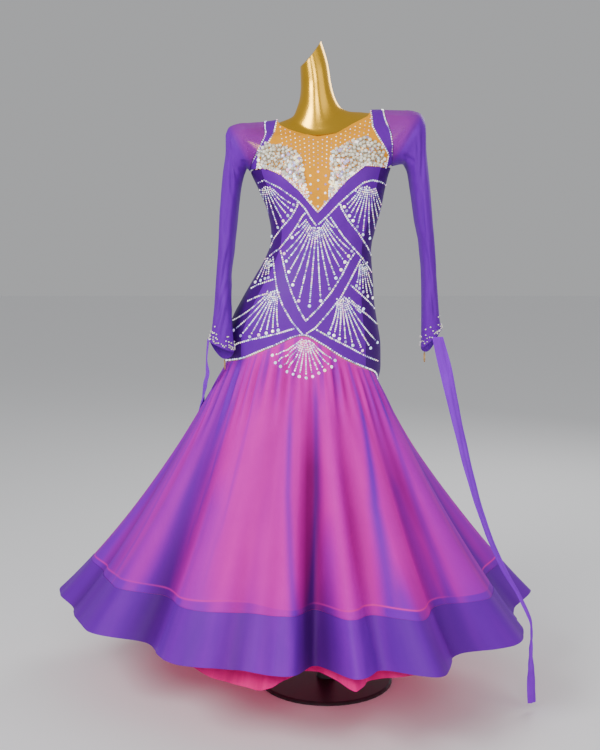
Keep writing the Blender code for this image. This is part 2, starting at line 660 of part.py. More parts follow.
def skirt_point(angle, share, out=0.0, inset=0.0):
    """A point on the skirt's outer face, or so far inside it. share runs from the hip seam, 0, to the hem, 1."""
    top = skin(angle, float(HIP((angle + 180) % 360 - 180)[0]) - GAP, CLEAR + WALL)
    way = np.array((math.cos(math.radians(angle)), math.sin(math.radians(angle)), 0))
    depth = hem_radius(angle) - HEM_MEAN
    hem = np.array((HEM_X, HEM_Y, HEM_Z)) + way * HEM_MEAN
    flat = share * (1 - FLARE) + share**3 * FLARE
    point = top + (hem - top) * flat
    point[2] = top[2] + (HEM_Z - top[2]) * share
    point += way * (depth * share**FLUTE_START - inset)
    point[2] += HEM_LIFT * depth * share**3
    if out:
        along = skirt_point(angle + 0.5, share) - skirt_point(angle - 0.5, share)
        down = skirt_point(angle, share + 0.01) - skirt_point(angle, share - 0.01 if share > 0.02 else share)
        normal = np.cross(down, along)
        point = point + out * normal / np.linalg.norm(normal)
    return point


def skirt_layer(name, angles, steps, out, inset, wall, finish, drop=None):
    """A ring of the skirt, inset(share, number) inside the outer face. drop(angle) lowers its last row."""
    def place(angle, step, number, away):
        share = step + (drop(angle) if drop and step == steps[-1] else 0)
        return skirt_point(angle, share, away, inset(step, number))

    outer = [[place(a, t, n, out) for n, a in enumerate(angles)] for t in steps]
    inner = [[place(a, t, n, out - wall) for n, a in enumerate(angles)] for t in steps]
    shell(name, np.array(outer), np.array(inner), finish, loop=True)


def build_skirt():
    angles = flute_angles()
    skirt_layer("skirt_outer", angles, SKIRT_STEPS, 0.0, lambda t, n: 0.0, WALL, "chiffon")
    steps = [BAND_STEPS[0] + GAP / HEM_MEAN] + list(BAND_STEPS[1:])
    skirt_layer("hem_band", angles, steps, BAND_PROUD, lambda t, n: 0.0, WALL + BAND_PROUD, "band")

    def inner_inset(t, n):
        return LAYER_STEP + INNER_LOOSE * (t - INNER_STEPS[0])

    def under_inset(t, n):
        ease = t - UNDER_STEPS[0]
        wave = UNDER_WAVE * (1 - math.cos(2 * math.pi * UNDER_WAVES * n / len(angles)))
        return inner_inset(t, n) + LAYER_STEP + (UNDER_LOOSE + wave) * ease

    skirt_layer("skirt_inner", angles, INNER_STEPS, 0.0, inner_inset, WALL, "pink")
    hang = curve(UNDER_ROWS)
    skirt_layer("petticoat", angles, UNDER_STEPS, 0.0, under_inset, WALL, "net",
                lambda angle: float(hang((angle + 180) % 360 - 180)[0]))


def build_floats():
    laid = []
    for angle, share in zip(FLOAT_LAID_ANGLES, FLOAT_LAID_SHARES):
        x, y, z = skirt_point(angle, share, FLOAT_LAID_OUT)
        turn = math.radians(angle)
        laid.append((x, y, z, math.sin(turn), -math.cos(turn), 13))
    for name, rows in (("left", FLOAT_LEFT_ROWS), ("right", list(FLOAT_RIGHT_ROWS) + laid)):
        outer, inner = [], []
        for x, y, z, across_x, across_y, half in rows:
            across = np.array((across_x, across_y, 0.0))
            across /= np.linalg.norm(across)
            away = np.array((-across[1], across[0], 0.0)) * (1 if across[1] * x < 0 else -1)
            line = [np.array((x, y, z)) + across * half * u + away * 3.0 * (1 - u * u) for u in (-1, 0, 1)]
            outer.append(line)
            inner.append([p + away * FLOAT_WALL for p in line])
        shell(f"float_{name}", np.array(outer), np.array(inner), "sheer")


def main():
    clear_scene()
    build_stand()
    build_form()
    build_front()
    build_straps()
    build_sides_and_back()
    build_sleeves()
    build_skirt()
    build_floats()


main()
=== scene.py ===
"""Ballroom dance dress on a gold dress form, dressed over its CAD frame.

Tables are in millimetres and in degrees round the body, with the wearer's left at 0 and the front at -90.
Meshes are in metres.
"""

import math

import bmesh
import bpy
import numpy as np
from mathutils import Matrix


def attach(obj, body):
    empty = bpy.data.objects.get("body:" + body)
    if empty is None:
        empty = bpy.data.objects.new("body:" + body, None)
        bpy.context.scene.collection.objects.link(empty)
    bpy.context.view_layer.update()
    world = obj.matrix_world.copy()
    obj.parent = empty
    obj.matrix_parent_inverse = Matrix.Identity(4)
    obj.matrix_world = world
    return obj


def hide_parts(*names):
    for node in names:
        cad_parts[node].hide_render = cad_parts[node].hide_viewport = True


bl_info = {
    "name": "Ballroom dance dress",
    "version": (1, 0, 0),
    "blender": (4, 5, 0),
    "location": "View3D > Sidebar > Dress",
    "description": "Makes a stoned ballroom dress with a layered skirt on a gold dress form",
    "category": "Object",
}

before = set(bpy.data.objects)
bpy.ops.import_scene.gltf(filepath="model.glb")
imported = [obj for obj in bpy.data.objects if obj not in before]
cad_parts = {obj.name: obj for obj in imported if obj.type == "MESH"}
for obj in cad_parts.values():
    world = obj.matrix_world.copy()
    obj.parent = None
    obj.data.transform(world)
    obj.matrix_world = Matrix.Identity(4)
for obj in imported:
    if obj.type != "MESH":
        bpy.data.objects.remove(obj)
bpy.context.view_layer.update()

MM = 0.001
GAP, EDGE, HIP_LIFT = 0.3, 0.35, 1.0
WALL, CLEAR = 1.3, 0.6
FORM_INSET = 2.5
STUB_INSET, STUB_FROM, STUB_EASE = 6.0, 96.0, 40.0
NECK_INSET, NECK_FROM, NECK_TO = 1.4, 1300, 1390
STONE_SEAT = 0.1
SLEEVE_WALL, FLOAT_WALL, BAND_WALL = 0.8, 0.6, 1.6
FORM_FOOT, SHOULDER_FROM, SHOULDER_TO, FORM_TOP = 690, 1340, 1400, 1528

# height, centre_x, half_width, centre_y, front, back, square, roll, dip
BODY_ROWS = (
    (690, -46, 128, 6, 78, 92, 2.2, 0.0, 0),
    (706, -50, 148, 6, 92, 108, 2.2, 0.0, 0),
    (750, -56, 170, 6, 106, 122, 2.2, -0.04, 0),
    (800, -57, 185, 4, 114, 128, 2.2, -0.05, 0),
    (855, -57, 184, 2, 117, 126, 2.2, -0.05, 0),
    (904, -53, 172, 0, 114, 116, 2.2, -0.04, 0),
    (952, -45, 156, 0, 108, 104, 2.2, -0.03, 0),
    (1000, -33, 141, 0, 101, 94, 2.2, -0.02, 0),
    (1047, -22, 126, 0, 95, 88, 2.2, -0.01, 0),
    (1085, -15, 119, 0, 93, 85, 2.2, 0.0, 0),
    (1118, -10, 122, 0, 95, 87, 2.2, 0.01, 0),
    (1166, -8, 133, 0, 101, 95, 2.2, 0.01, 0),
    (1213, -13, 147, 0, 108, 103, 2.3, 0.01, 0),
    (1250, -16, 160, 0, 108, 108, 2.4, 0.03, 0),
    (1280, -14, 174, 0, 101, 108, 2.6, 0.05, 0),
    (1310, -8, 198, 0, 92, 103, 2.9, 0.06, 6),
    (1340, -5, 215, 0, 82, 94, 3.0, 0.07, 18),
    (1360, -4, 223, 0, 74, 84, 3.0, 0.075, 29),
    (1372, -4, 218, 0, 68, 77, 2.9, 0.075, 35),
    (1378.5, -5, 192, 0, 62, 70, 2.7, 0.08, 40),
    (1383, -8, 150, 0, 57, 64, 2.5, 0.095, 44),
    (1386.5, -12, 98, 2, 53, 58, 2.3, 0.11, 45),
    (1393, -17, 66, 4, 50, 54, 2.1, 0.09, 44),
    (1408, -22, 52, 6, 47, 49, 2.0, 0.02, 38),
    (1430, -25, 43, 8, 45, 46, 2.0, 0.05, 30),
    (1456, -28, 38, 10, 44, 45, 2.0, 0.2, 20),
    (1484, -31, 35, 12, 43, 45, 2.0, 0.5, 14),
    (1528, -40, 27, 12, 40, 43, 2.0, 1.1, 10),
)
SHOULDER_X, NECK_REACH, BACK_DIP = -12, 70, 0.15
BUST_HEIGHT, BUST_ANGLE, BUST_FULL, BUST_WIDE, BUST_TALL = 1222, 27, 0.12, 22, 52

# angle, height
HIP_ROWS = ((-180, 792), (-142, 808), (-114, 844), (-90, 876), (-77, 858), (-62, 829), (-46, 808), (-28, 791),
            (0, 757), (45, 778), (90, 802), (135, 800), (180, 792))
SIDE_TOP_RIGHT, SIDE_TOP_LEFT = 1262.2, 1258.2
BACK_TOP_ROWS = (
    (-8, 1257), (0, 1257), (17, 1262.5), (24, 1270.5), (31, 1280.5), (38, 1292), (43, 1298), (90, 1298),
)
SIDE_TOP_RIGHT_ROWS = ((-40, SIDE_TOP_RIGHT), (-33, 1263.2), (-22, 1263.4), (-14, 1260.5))
SIDE_TOP_LEFT_ROWS = ((-40, SIDE_TOP_LEFT), (-34, 1257.4), (-28, 1257.2), (-22, 1258.6), (-14, 1258.2))
PRINCESS, BACK_SEAM, SEAM = 40, 38, 0.12
ARM_LOW, ARM_TOP, ARM_LOW_X, ARM_TOP_X = 1262, 1383.8, 166, 141

# x, z, seen from the front
NECKLINE = (
    (-119, 1374), (-112, 1361), (-90, 1349), (-51, 1336), (-24, 1331), (18, 1338), (57, 1362), (92, 1380),
    (101, 1393),
)
YOKE_EDGE = (
    (-163, 1260), (-143, 1259), (-108, 1244), (-65, 1206), (-24, 1158), (-4, 1181), (42, 1232), (83, 1264),
    (132, 1263),
)
STRAP_IN_RIGHT = ((-119, 1374), (-125, 1341), (-136, 1320), (-158, 1292), (-163, 1260))
STRAP_IN_LEFT = ((101, 1393), (103, 1352), (112, 1334), (138, 1292), (132, 1263))
STRAP_FOOT, STRAP_BACK, STRAP_GAP, STRAP_SIDE = 1265, 1303, 1.9, 0.75
PEARLS_RIGHT = (
    ((-161, 1292), (-143, 1314), (-97, 1307), (-63, 1284)),
    ((-158, 1264), (-133, 1259), (-94, 1241), (-51, 1220)),
)
PEARLS_LEFT = (
    ((8, 1294), (49, 1316), (84, 1331), (122, 1310)), ((3, 1204), (41, 1238), (83, 1267), (129, 1267)),
)
# The strip of small stones between each cup and the edge of the bodice
UNDER_RIGHT = (
    ((-150, 1270), (-108, 1254), (-60, 1222), (-46, 1214)),
    ((-150, 1264), (-108, 1248), (-62, 1209), (-44, 1190)),
)
UNDER_LEFT = (
    ((0, 1212), (10, 1222), (44, 1246), (84, 1272)), ((1, 1193), (12, 1205), (44, 1240), (84, 1268)),
)

# outer_x, outer_z, inner_x, inner_z, deep, centre_y
SLEEVE_RIGHT_ROWS = (
    (-196, 1368, -190, 1262, 82, 0),
    (-231, 1358, -194, 1254, 78, 0),
    (-238, 1341, -199, 1240, 74, 0),
    (-240, 1300, -205, 1214, 69, -2),
    (-247, 1250, -209, 1180, 64, -4),
    (-253, 1180, -213, 1136, 59, -6),
    (-257, 1100, -219, 1080, 54, -16),
    (-262, 1020, -227, 1010, 48, -36),
    (-266, 940, -226, 934, 42, -62),
    (-271, 890, -222, 882, 38, -80),
    (-278, 864, -219, 838, 36, -88),
)
SLEEVE_LEFT_ROWS = (
    (186, 1397, 178, 1272, 82, 0),
    (217, 1389, 184, 1264, 78, 0),
    (229, 1362, 190, 1248, 74, 0),
    (231, 1316, 195, 1216, 69, -2),
    (239, 1240, 200, 1184, 64, -4),
    (246, 1170, 207, 1140, 59, -6),
    (252, 1100, 218, 1084, 54, -8),
    (259, 1020, 225, 1012, 48, -8),
    (265, 952, 226, 946, 42, -6),
    (270, 905, 226, 892, 38, -4),
    (276, 884, 227, 838, 36, -2),
)
SLEEVE_SQUARE, CUFF_POINT = 2.5, 34
LOOP_RADIUS, LOOP_CORD = 12.0, 1.2

# angle, radius
FLUTE_ROWS = (
    (-188, 606), (-171, 545), (-156, 528), (-141, 432), (-122, 484), (-106, 450), (-92, 478), (-84, 400),
    (-75, 520), (-68, 478), (-59, 586), (-46, 506), (-32, 588), (-9, 532), (8, 600), (26, 522), (44, 590),
    (62, 500), (80, 585), (98, 498), (116, 588), (134, 508), (152, 590), (163, 545),
)
HEM_X, HEM_Y, HEM_Z, HEM_MEAN = -75, 0, 205, 522
HEM_LIFT, FLARE, FLUTE_START = 0.10, 0.16, 1.35
# angle, drop
UNDER_ROWS = (
    (-180, -0.01), (-128, -0.01), (-112, 0.045), (-101, 0.06), (-91, 0.02), (-84, 0.03), (-76, 0.045),
    (-66, 0.035), (-58, -0.01), (0, 0.0), (60, 0.02), (120, 0.0), (180, -0.01),
)
INNER_LOOSE, UNDER_LOOSE, LAYER_STEP, BAND_PROUD = 8, 30, 2.7, 0.5
# How far the purple hides the pink round the skirt, and from which share down. angle, density, start
OVERLAY_ROWS = (
    (-188, 0.7, -0.3), (-171, 0.85, -0.3), (-160, 0.5, -0.3), (-150, 0.62, -0.3), (-138, 0.45, -0.2),
    (-131, 0.2, 0.1), (-125, 0.03, 0.1), (-78, 0.02, 0.2), (-66, 0.08, 0.1), (-56, 0.06, 0.1),
    (-48, 0.25, -0.1), (-40, 0.42, -0.2), (-30, 0.5, -0.3), (-18, 0.75, -0.3), (-9, 0.9, -0.3),
    (8, 0.55, -0.3), (26, 0.85, -0.3), (44, 0.4, -0.2), (62, 0.75, -0.1), (80, 0.1, 0.1), (98, 0.5, 0.15),
    (116, 0.08, 0.1), (134, 0.7, -0.1), (152, 0.45, -0.3), (163, 0.85, -0.3), (172, 0.7, -0.3),
)
BAND_FROM = 0.845  # share of the skirt where the hem band starts
HEM_FROM = 0.78  # share of the skirt from which its rows draw close, above the band
HEM_WAVES_FROM, HEM_WAVES = 0.84, 2.4
# Where the pink layer's hem shows: its share of the skirt's length, how far it wanders and its width
LINING_HEM, LINING_WANDER, LINING_WIDE = 0.820, 0.013, 0.0024
# Folds where the purple lies double. top_angle, middle_angle, foot_angle, start, half_width, strength
STREAKS = (
    (-141, -144, -144, -0.30, 8.5, 0.97), (-133, -137, -142.5, 0.02, 1.7, 0.85),
    (-126, -127.5, -124, 0.38, 6.5, 0.62), (-118, -120, -122, -0.10, 1.1, 0.45),
    (-97, -95, -89.5, 0.16, 1.5, 0.80), (-82, -82.5, -86.5, 0.05, 1.8, 0.85),
    (-78.5, -78.7, -80.5, 0.52, 2.4, 0.55), (-54, -62, -64.5, 0.05, 1.8, 0.90),
    (-58, -63, -61, 0.62, 3.0, 0.60), (-35.5, -39.5, -42, 0.00, 2.0, 0.90),
    (-46, -46, -46, 0.30, 4.5, 0.55), (-24, -25, -27, 0.25, 3.0, 0.85), (-12, -13, -15, -0.10, 2.0, 0.9),
    (-160, -163, -160, -0.20, 2.0, 0.85), (-172, -171, -168, -0.20, 2.2, 0.9),
)

# x, y, z, across_x, across_y, half_width
FLOAT_LEFT_ROWS = (
    (262, -38.5, 867, 1, 0.05, 13),
    (281, -48, 790, 1, 0.1, 15),
    (298, -58, 712, 1, 0.3, 15),
    (320, -66, 620, 1, 0.5, 13),
    (345, -78, 520, 1, 0.8, 12),
    (374, -92, 425, 1, 1, 12),
    (414, -108, 330, 1, 1.4, 12),
    (459, -130, 250, 0.6, 1.6, 12),
    (478, -160, 196, 0.5, 1.6, 12),
    (477, -170, 120, 0.7, 1, 12),
    (479, -175, 60, 1, 0.6, 13),
    (481, -180, 16, 1, 0.5, 13),
)
FLOAT_RIGHT_ROWS = (
    (-277.6, -87, 867, 0, 1, 7),
    (-281.5, -84, 822, -0.1, 1, 12),
    (-283, -62, 784, -0.4, 1, 14),
    (-293, -18, 748, -0.4, 1, 14),
)
# Where the right float lies on the skirt. angle, share
FLOAT_LAID_ROWS = ((166, 0.2), (157, 0.32), (152, 0.46), (151, 0.6), (151, 0.73))
FLOAT_LAID_OUT = 7.0

# Rows of stones on the bodice's front. x, z
STONE_LINES = (
    (
        (-160, 1229), (-146, 1234), (-111, 1216), (-84, 1197), (-71, 1188), (-54, 1170), (-40, 1147),
        (-27, 1129), (-4, 1150), (26, 1182), (53, 1206), (79, 1227), (99, 1233), (120, 1230), (134, 1224),
    ),
    ((-71, 1188), (-70, 1176), (-84, 1150), (-104, 1127), (-124, 1100), (-133, 1078)),
    ((-50, 1161), (-59, 1152), (-73, 1127), (-92, 1100), (-112, 1075), (-124, 1067), (-134, 1058)),
    ((26, 1182), (30, 1169), (46, 1142), (70, 1112), (91, 1080), (103, 1056)),
    ((0, 1156), (15, 1133), (35, 1104), (59, 1077), (79, 1054), (102, 1020)),
    (
        (-110, 1075), (-104, 1050), (-96, 1012), (-84, 975), (-69, 941), (-52, 911), (-23, 940), (8, 978),
        (32, 1016), (47, 1047), (63, 1069),
    ),
    (
        (-128, 1065), (-123, 1019), (-117, 978), (-104, 944), (-84, 910), (-57, 878), (-30, 895), (0, 929),
        (28, 963), (47, 997), (67, 1035), (77, 1054),
    ),
    ((-123, 1006), (-163, 991), (-178, 982)), ((-118, 980), (-162, 965), (-186, 953)),
    ((49, 995), (71, 975), (96, 951), (113, 930)), ((33, 968), (59, 946), (92, 921), (116, 897)),
    ((-75, 895), (-123, 880), (-182, 865), (-210, 855), (-225, 845)),
    ((-30, 893), (8, 871), (47, 850), (84, 828), (118, 810)),
)
# Sprays of stones. Angles are from straight down, towards +X. The rays' starts spread, and rise at the ends.
# x, z, rays, first_angle, last_angle, first_length, middle_length, last_length, heart, spread, rise
SPRAYS = (
    (-27, 1121, 16, -66, 64, 96, 180, 96, 20, 21, 26),
    (-145, 1216, 10, -34, 60, 128, 122, 78, 15, 15, 2),
    (88, 1215, 12, -58, 40, 66, 118, 104, 16, 17, 4),
    (-139, 1052, 8, -54, 8, 62, 88, 48, 12, 10, 4),
    (80, 1042, 8, -22, 32, 50, 92, 66, 12, 10, 6),
    (-124, 974, 10, -64, 14, 132, 128, 84, 13, 12, 6),
    (33, 958, 11, -30, 56, 84, 124, 150, 14, 12, 8),
)
# The spray below the point of the bodice lies on the skirt.
SKIRT_SPRAY = (-52, 866, 12, -66, 56, 86, 80, 82, 12, 9, 3)

ROOM_STEPS, ROOM_FROM, ROOM_CLEAR, STONE_TOUCH = 70, 24, 6.8, 0.46
YOKE_ROW_FOOT, YOKE_ROW_STEP, YOKE_POINT_TOP, BACK_BEADS = 1174, 9.6, 1258, 1294.5
BUST_ACROSS, BUST_DOWN = 60, 40

# Creases that a tight or sheer panel shows. x1, z1, x2, z2, depth, width
YOKE_CREASES = (
    (-40, 1264, -4, 1240, 0.7, 2.6), (-46, 1254, -2, 1224, 0.75, 2.6), (-42, 1240, 2, 1213, 0.7, 2.6),
    (-36, 1225, -6, 1203, 0.6, 2.6), (-32, 1278, 6, 1253, 0.55, 2.6), (-30, 1209, -14, 1193, 0.5, 2.4),
)
BODICE_CREASES = (
    (-136, 1092, -96, 1080, 0.5, 5), (100, 1098, 66, 1086, 0.5, 5), (-134, 1074, -100, 1066, 0.4, 4),
    (98, 1078, 72, 1070, 0.4, 4),
)
SLEEVE_RIGHT_CREASES = (
    (-228, 1350, -183, 1273, 2.4, 5), (-229, 1348, -226, 1293, 2.6, 3.5),
    (-226, 1293, -222, 1192, 2.6, 3.5), (-203, 1278, -181, 1271, 3.0, 3.5),
    (-219, 1266, -211, 1240, 2.6, 3.5), (-239, 1180, -241, 1100, 2.2, 5), (-232, 1200, -246, 1060, 1.8, 5),
    (-228, 1090, -252, 960, 2.4, 4), (-232, 1010, -262, 890, 2.4, 4), (-232, 950, -248, 868, 2.0, 4),
)
SLEEVE_LEFT_CREASES = (
    (214, 1374, 160, 1290, 2.4, 5), (216, 1369, 216, 1215, 3.4, 3.5), (216, 1215, 225, 1100, 3.4, 3.5),
    (225, 1100, 256, 902, 3.2, 3.5), (205, 1333, 210, 1215, 2.4, 3.5), (210, 1215, 220, 1124, 2.4, 3.5),
    (172, 1294, 203, 1272, 3.0, 3.5), (233, 1040, 241, 914, 2.2, 3.5), (240, 1130, 247, 1010, 1.8, 5),
)
# The sheer mesh lies single above this line of each sleeve. x1, z1, x2, z2
SHEER_RIGHT, SHEER_LEFT = (-231, 1351, -183, 1268), (217, 1378, 158, 1284)


def curve(rows):
    """A smooth function through a table's rows. The first column is where, the rest are the values."""
    table = np.array(rows, float)
    at, values = table[:, 0], table[:, 1:]
    slopes = np.diff(values, axis=0) / np.diff(at)[:, None]
    before, after = slopes[:-1], slopes[1:]
    agree = before * after > 0
    tangents = np.zeros_like(values)
    tangents[1:-1] = np.where(agree, 2 * before * after / np.where(agree, before + after, 1), 0)
    tangents[0], tangents[-1] = slopes[0], slopes[-1]

    def value(where):
        where = np.clip(np.asarray(where, float), at[0], at[-1])
        i = np.clip(np.searchsorted(at, where) - 1, 0, len(at) - 2)
        span = (at[i + 1] - at[i])[..., None]
        t = ((where - at[i]) / (at[i + 1] - at[i]))[..., None]
        return (
            values[i] * (2 * t**3 - 3 * t**2 + 1)
            + tangents[i] * span * (t**3 - 2 * t**2 + t)
            + values[i + 1] * (3 * t**2 - 2 * t**3)
            + tangents[i + 1] * span * (t**3 - t**2)
        )

    return value


BODY, HIP, UNDER = curve(BODY_ROWS), curve(HIP_ROWS), curve(UNDER_ROWS)


def turn_back(angle):
    return (np.asarray(angle, float) + 180) % 360 - 180


def bell(where, middle, width):
    return np.exp(-(((where - middle) / width) ** 2))


def fullness(angle, height):
    tall = bell(height, BUST_HEIGHT, BUST_TALL)
    factor = 1.0
    for side in (-90 - BUST_ANGLE, -90 + BUST_ANGLE):
        factor = factor * (1 + BUST_FULL * tall * bell(turn_back(angle - side), 0, BUST_WIDE))
    return factor


def body(angle, height):
    """Points on the form's nominal skin."""
    angle, height = np.broadcast_arrays(np.asarray(angle, float), np.asarray(height, float))
    centre_x, half, centre_y, front, back, square, roll, dip = np.moveaxis(BODY(height), -1, 0)
    c, s = np.cos(np.radians(angle)), np.sin(np.radians(angle))
    reach = (np.abs(c) ** square + np.abs(s) ** square) ** (-1 / square) * fullness(angle, height)
    x = centre_x + half * reach * c
    y = centre_y + np.where(s < 0, front, back) * reach * s
    fall = dip * (np.maximum(0, -s) ** 1.5 + BACK_DIP * np.maximum(0, s) ** 1.5)
    return np.stack((x, y, height + roll * (x - centre_x) - fall), axis=-1)


def unit(v):
    return v / np.maximum(np.linalg.norm(v, axis=-1, keepdims=True), 1e-9)


def skin(angle, height, out):
    """Points so far out of the form's nominal skin."""
    angle, height = np.asarray(angle, float), np.asarray(height, float)
    along = body(angle + 0.5, height) - body(angle - 0.5, height)
    up = body(angle, height + 1) - body(angle, height - 1)
    return body(angle, height) + np.asarray(out, float)[..., None] * unit(np.cross(along, up))


def front_angle(x, height):
    row = BODY(height)
    centre, half, square = row[..., 0], row[..., 1], row[..., 5]
    swell = 1.0
    for _ in range(4):
        c = np.clip((x - centre) / (half * swell), -0.9995, 0.9995)
        angle = np.degrees(np.arctan2(-((1 - np.abs(c) ** square) ** (1 / square)), c))
        swell = fullness(angle, height)
    return angle


def halve(low, high, short, times=26):
    """The place where short(middle) turns false, for arrays."""
    for _ in range(times):
        middle = (low + high) / 2
        less = short(middle)
        low, high = np.where(less, middle, low), np.where(less, high, middle)
    return (low + high) / 2


def ridge_height(x):
    x = np.asarray(x, float)

    def wide(height):
        row = BODY(height)
        return row[..., 1] > np.abs(x - row[..., 0])

    return halve(np.full(x.shape, 1362.0), np.full(x.shape, 1393.0), wide)


def front_height(x, z, face=1):
    x, z = np.asarray(x, float), np.asarray(z, float)
    top = np.where(np.abs(x - SHOULDER_X) > NECK_REACH, ridge_height(x), 1400.0)
    return halve(np.full(x.shape, 760.0), top, lambda h: body(face * front_angle(x, h), h)[..., 2] < z)


def front_skin(x, z, out):
    x, z = np.asarray(x, float), np.asarray(z, float)
    height = front_height(x, z)
    return skin(front_angle(x, height), height, out)


def lengths(points):
    """How far along a line of points each one lies."""
    return np.concatenate(([0], np.cumsum(np.linalg.norm(np.diff(points, axis=0), axis=1))))


def resample(points, count):
    points = np.array(points, float)
    run = lengths(points)
    at = np.linspace(0, run[-1], count)
    return np.stack([np.interp(at, run, points[:, i]) for i in range(points.shape[1])], axis=1)


def cut(line, pieces):
    points = []
    for a, b in zip(line, line[1:]):
        points += [tuple(a[i] + (b[i] - a[i]) * n / pieces for i in range(2)) for n in range(pieces)]
    return points + [tuple(line[-1])]


def in_steps(edge, steps):
    return np.array(edge, float) if len(edge) == steps + 1 else resample(edge, steps + 1)


def coons(top, bottom, left, right, across, down):
    """A grid of front-view points between four edges."""
    top, bottom = in_steps(top, across), in_steps(bottom, across)
    left, right = in_steps(left, down), in_steps(right, down)
    u, v = np.linspace(0, 1, across + 1)[None, :, None], np.linspace(0, 1, down + 1)[:, None, None]
    corners = (1 - u) * (1 - v) * top[0] + u * (1 - v) * top[-1]
    corners = corners + (1 - u) * v * bottom[0] + u * v * bottom[-1]
    return (1 - v) * top[None] + v * bottom[None] + (1 - u) * left[:, None] + u * right[:, None] - corners


def smooth_rows(rings, count):
    """More rings between the given ones, on smooth lines through them."""
    rings = np.array(rings, float)
    steps = np.linalg.norm(np.diff(rings, axis=0), axis=2).mean(axis=1)
    run = np.concatenate(([0], np.cumsum(steps)))
    value = curve(np.column_stack((run, rings.reshape(len(rings), -1))))
    return value(np.linspace(0, run[-1], count)).reshape(count, *rings.shape[1:])


def creased(points, out, creases):
    """Moves a panel's points in along soft troughs that are given in the front view."""
    depth = np.zeros(points.shape[:-1])
    for x1, z1, x2, z2, deep, wide in creases:
        a, b = np.array((x1, z1), float), np.array((x2, z2), float)
        way = b - a
        rel = points[..., [0, 2]] - a
        t = (rel @ way) / (way @ way)
        off = np.abs(rel[..., 0] * way[1] - rel[..., 1] * way[0]) / np.linalg.norm(way)
        ends = np.clip(np.minimum(t, 1 - t) * 5, 0, 1)
        depth += deep * ends * (bell(off, 0, wide) - 0.5 * bell(off, 2 * wide, wide))
    return points - out * depth[..., None]


def ripple(angle, along, seed, waves, size):
    """Soft uneven waves round the dress, from fixed sums of sines."""
    rng = np.random.default_rng(seed)
    total = np.zeros(np.broadcast(angle, along).shape)
    for low, high, share in waves:
        for _ in range(4):
            turns, lean, phase = rng.integers(low, high), rng.uniform(-2, 2), rng.uniform(0, 2 * math.pi)
            total += share * np.sin(np.radians(angle) * turns + along * lean + phase) / 4
    return total * size


def grid_normals(points, loop):
    if loop:
        across = np.roll(points, -1, axis=1) - np.roll(points, 1, axis=1)
    else:
        across = np.gradient(points, axis=1)
    return unit(np.cross(np.gradient(points, axis=0), across))


def placed(name, data):
    thing = bpy.data.objects.new(name, data)
    bpy.context.scene.collection.objects.link(thing)
    return thing


def face_out(mesh):
    work = bmesh.new()
    work.from_mesh(mesh)
    bmesh.ops.recalc_face_normals(work, faces=work.faces)
    work.to_mesh(mesh)
    work.free()


def cloth(name, outer, inner=None, loop=False, *, facing):
    """A sheet from a grid of points in millimetres, closed over an inner grid if one is given, with a UV map
    in metres. facing is a point that the outer side looks away from."""
    rows, cols = outer.shape[:2]
    spans = cols if loop else cols - 1
    steps = np.cumsum(np.linalg.norm(np.diff(outer, axis=0), axis=2), axis=0)
    down = np.concatenate((np.zeros((1, cols)), steps))
    closed = np.concatenate((outer, outer[:, :1]), axis=1) if loop else outer
    across = np.cumsum(np.linalg.norm(np.diff(closed, axis=1), axis=2), axis=1).mean(axis=0)
    across = np.concatenate(([0], across)) * MM
    down = down * MM
    points = np.concatenate([side.reshape(-1, 3) for side in (outer, inner) if side is not None])
    r, c = np.meshgrid(np.arange(rows - 1), np.arange(spans), indexing="ij")
    r, c = r.ravel(), c.ravel()
    d = (c + 1) % cols
    quads = np.stack((r * cols + c, (r + 1) * cols + c, (r + 1) * cols + d, r * cols + d), axis=1)
    us = np.stack((across[c], across[c], across[c + 1], across[c + 1]), axis=1)
    vs = np.stack((down[r, c], down[r + 1, c], down[r + 1, d], down[r, d]), axis=1)
    normal = np.cross(points[quads[:, 1]] - points[quads[:, 0]], points[quads[:, 3]] - points[quads[:, 0]])
    if (normal * (points[quads].mean(axis=1) - np.array(facing))).sum() < 0:
        quads, us, vs = quads[:, ::-1], us[:, ::-1], vs[:, ::-1]
    if inner is not None:
        n = rows * cols
        faces, uu, vv = [quads, quads[:, ::-1] + n], [us, us[:, ::-1]], [vs, vs[:, ::-1]]
        for row in (0, rows - 1):
            c2 = np.arange(spans)
            d2 = (c2 + 1) % cols
            a, b = row * cols + c2, row * cols + d2
            faces.append(np.stack((a, b, b + n, a + n), axis=1))
            uu.append(np.stack((across[c2], across[c2 + 1], across[c2 + 1], across[c2]), axis=1))
            near, far = down[row, c2], down[row, d2]
            vv.append(np.stack((near, far, far + WALL * MM, near + WALL * MM), axis=1))
        if not loop:
            for col in (0, cols - 1):
                r2 = np.arange(rows - 1)
                a, b = r2 * cols + col, (r2 + 1) * cols + col
                faces.append(np.stack((a, b, b + n, a + n), axis=1))
                uu.append(np.full((rows - 1, 4), across[col]))
                near, far = down[r2, col], down[r2 + 1, col]
                vv.append(np.stack((near, far, far, near), axis=1))
        quads, us, vs = np.concatenate(faces), np.concatenate(uu), np.concatenate(vv)
    mesh = bpy.data.meshes.new(name)
    mesh.from_pydata((points * MM).tolist(), [], quads.tolist())
    layer = mesh.uv_layers.new(name="UVMap")
    layer.data.foreach_set("uv", np.stack((us.ravel(), vs.ravel()), axis=1).ravel().astype(np.float32))
    if inner is not None:
        face_out(mesh)
    mesh.shade_smooth()
    if inner is not None:
        mesh.set_sharp_from_angle(angle=math.radians(55))
    return placed(name, mesh)


def tint(thing, name, values):
    """A shading attribute, one value a point; a closed sheet's inner points repeat its outer ones."""
    values = np.asarray(values, np.float32).ravel()
    if len(values) * 2 == len(thing.data.vertices):
        values = np.concatenate((values, values))
    layer = thing.data.attributes.new(name, "FLOAT", "POINT")
    layer.data.foreach_set("value", values)


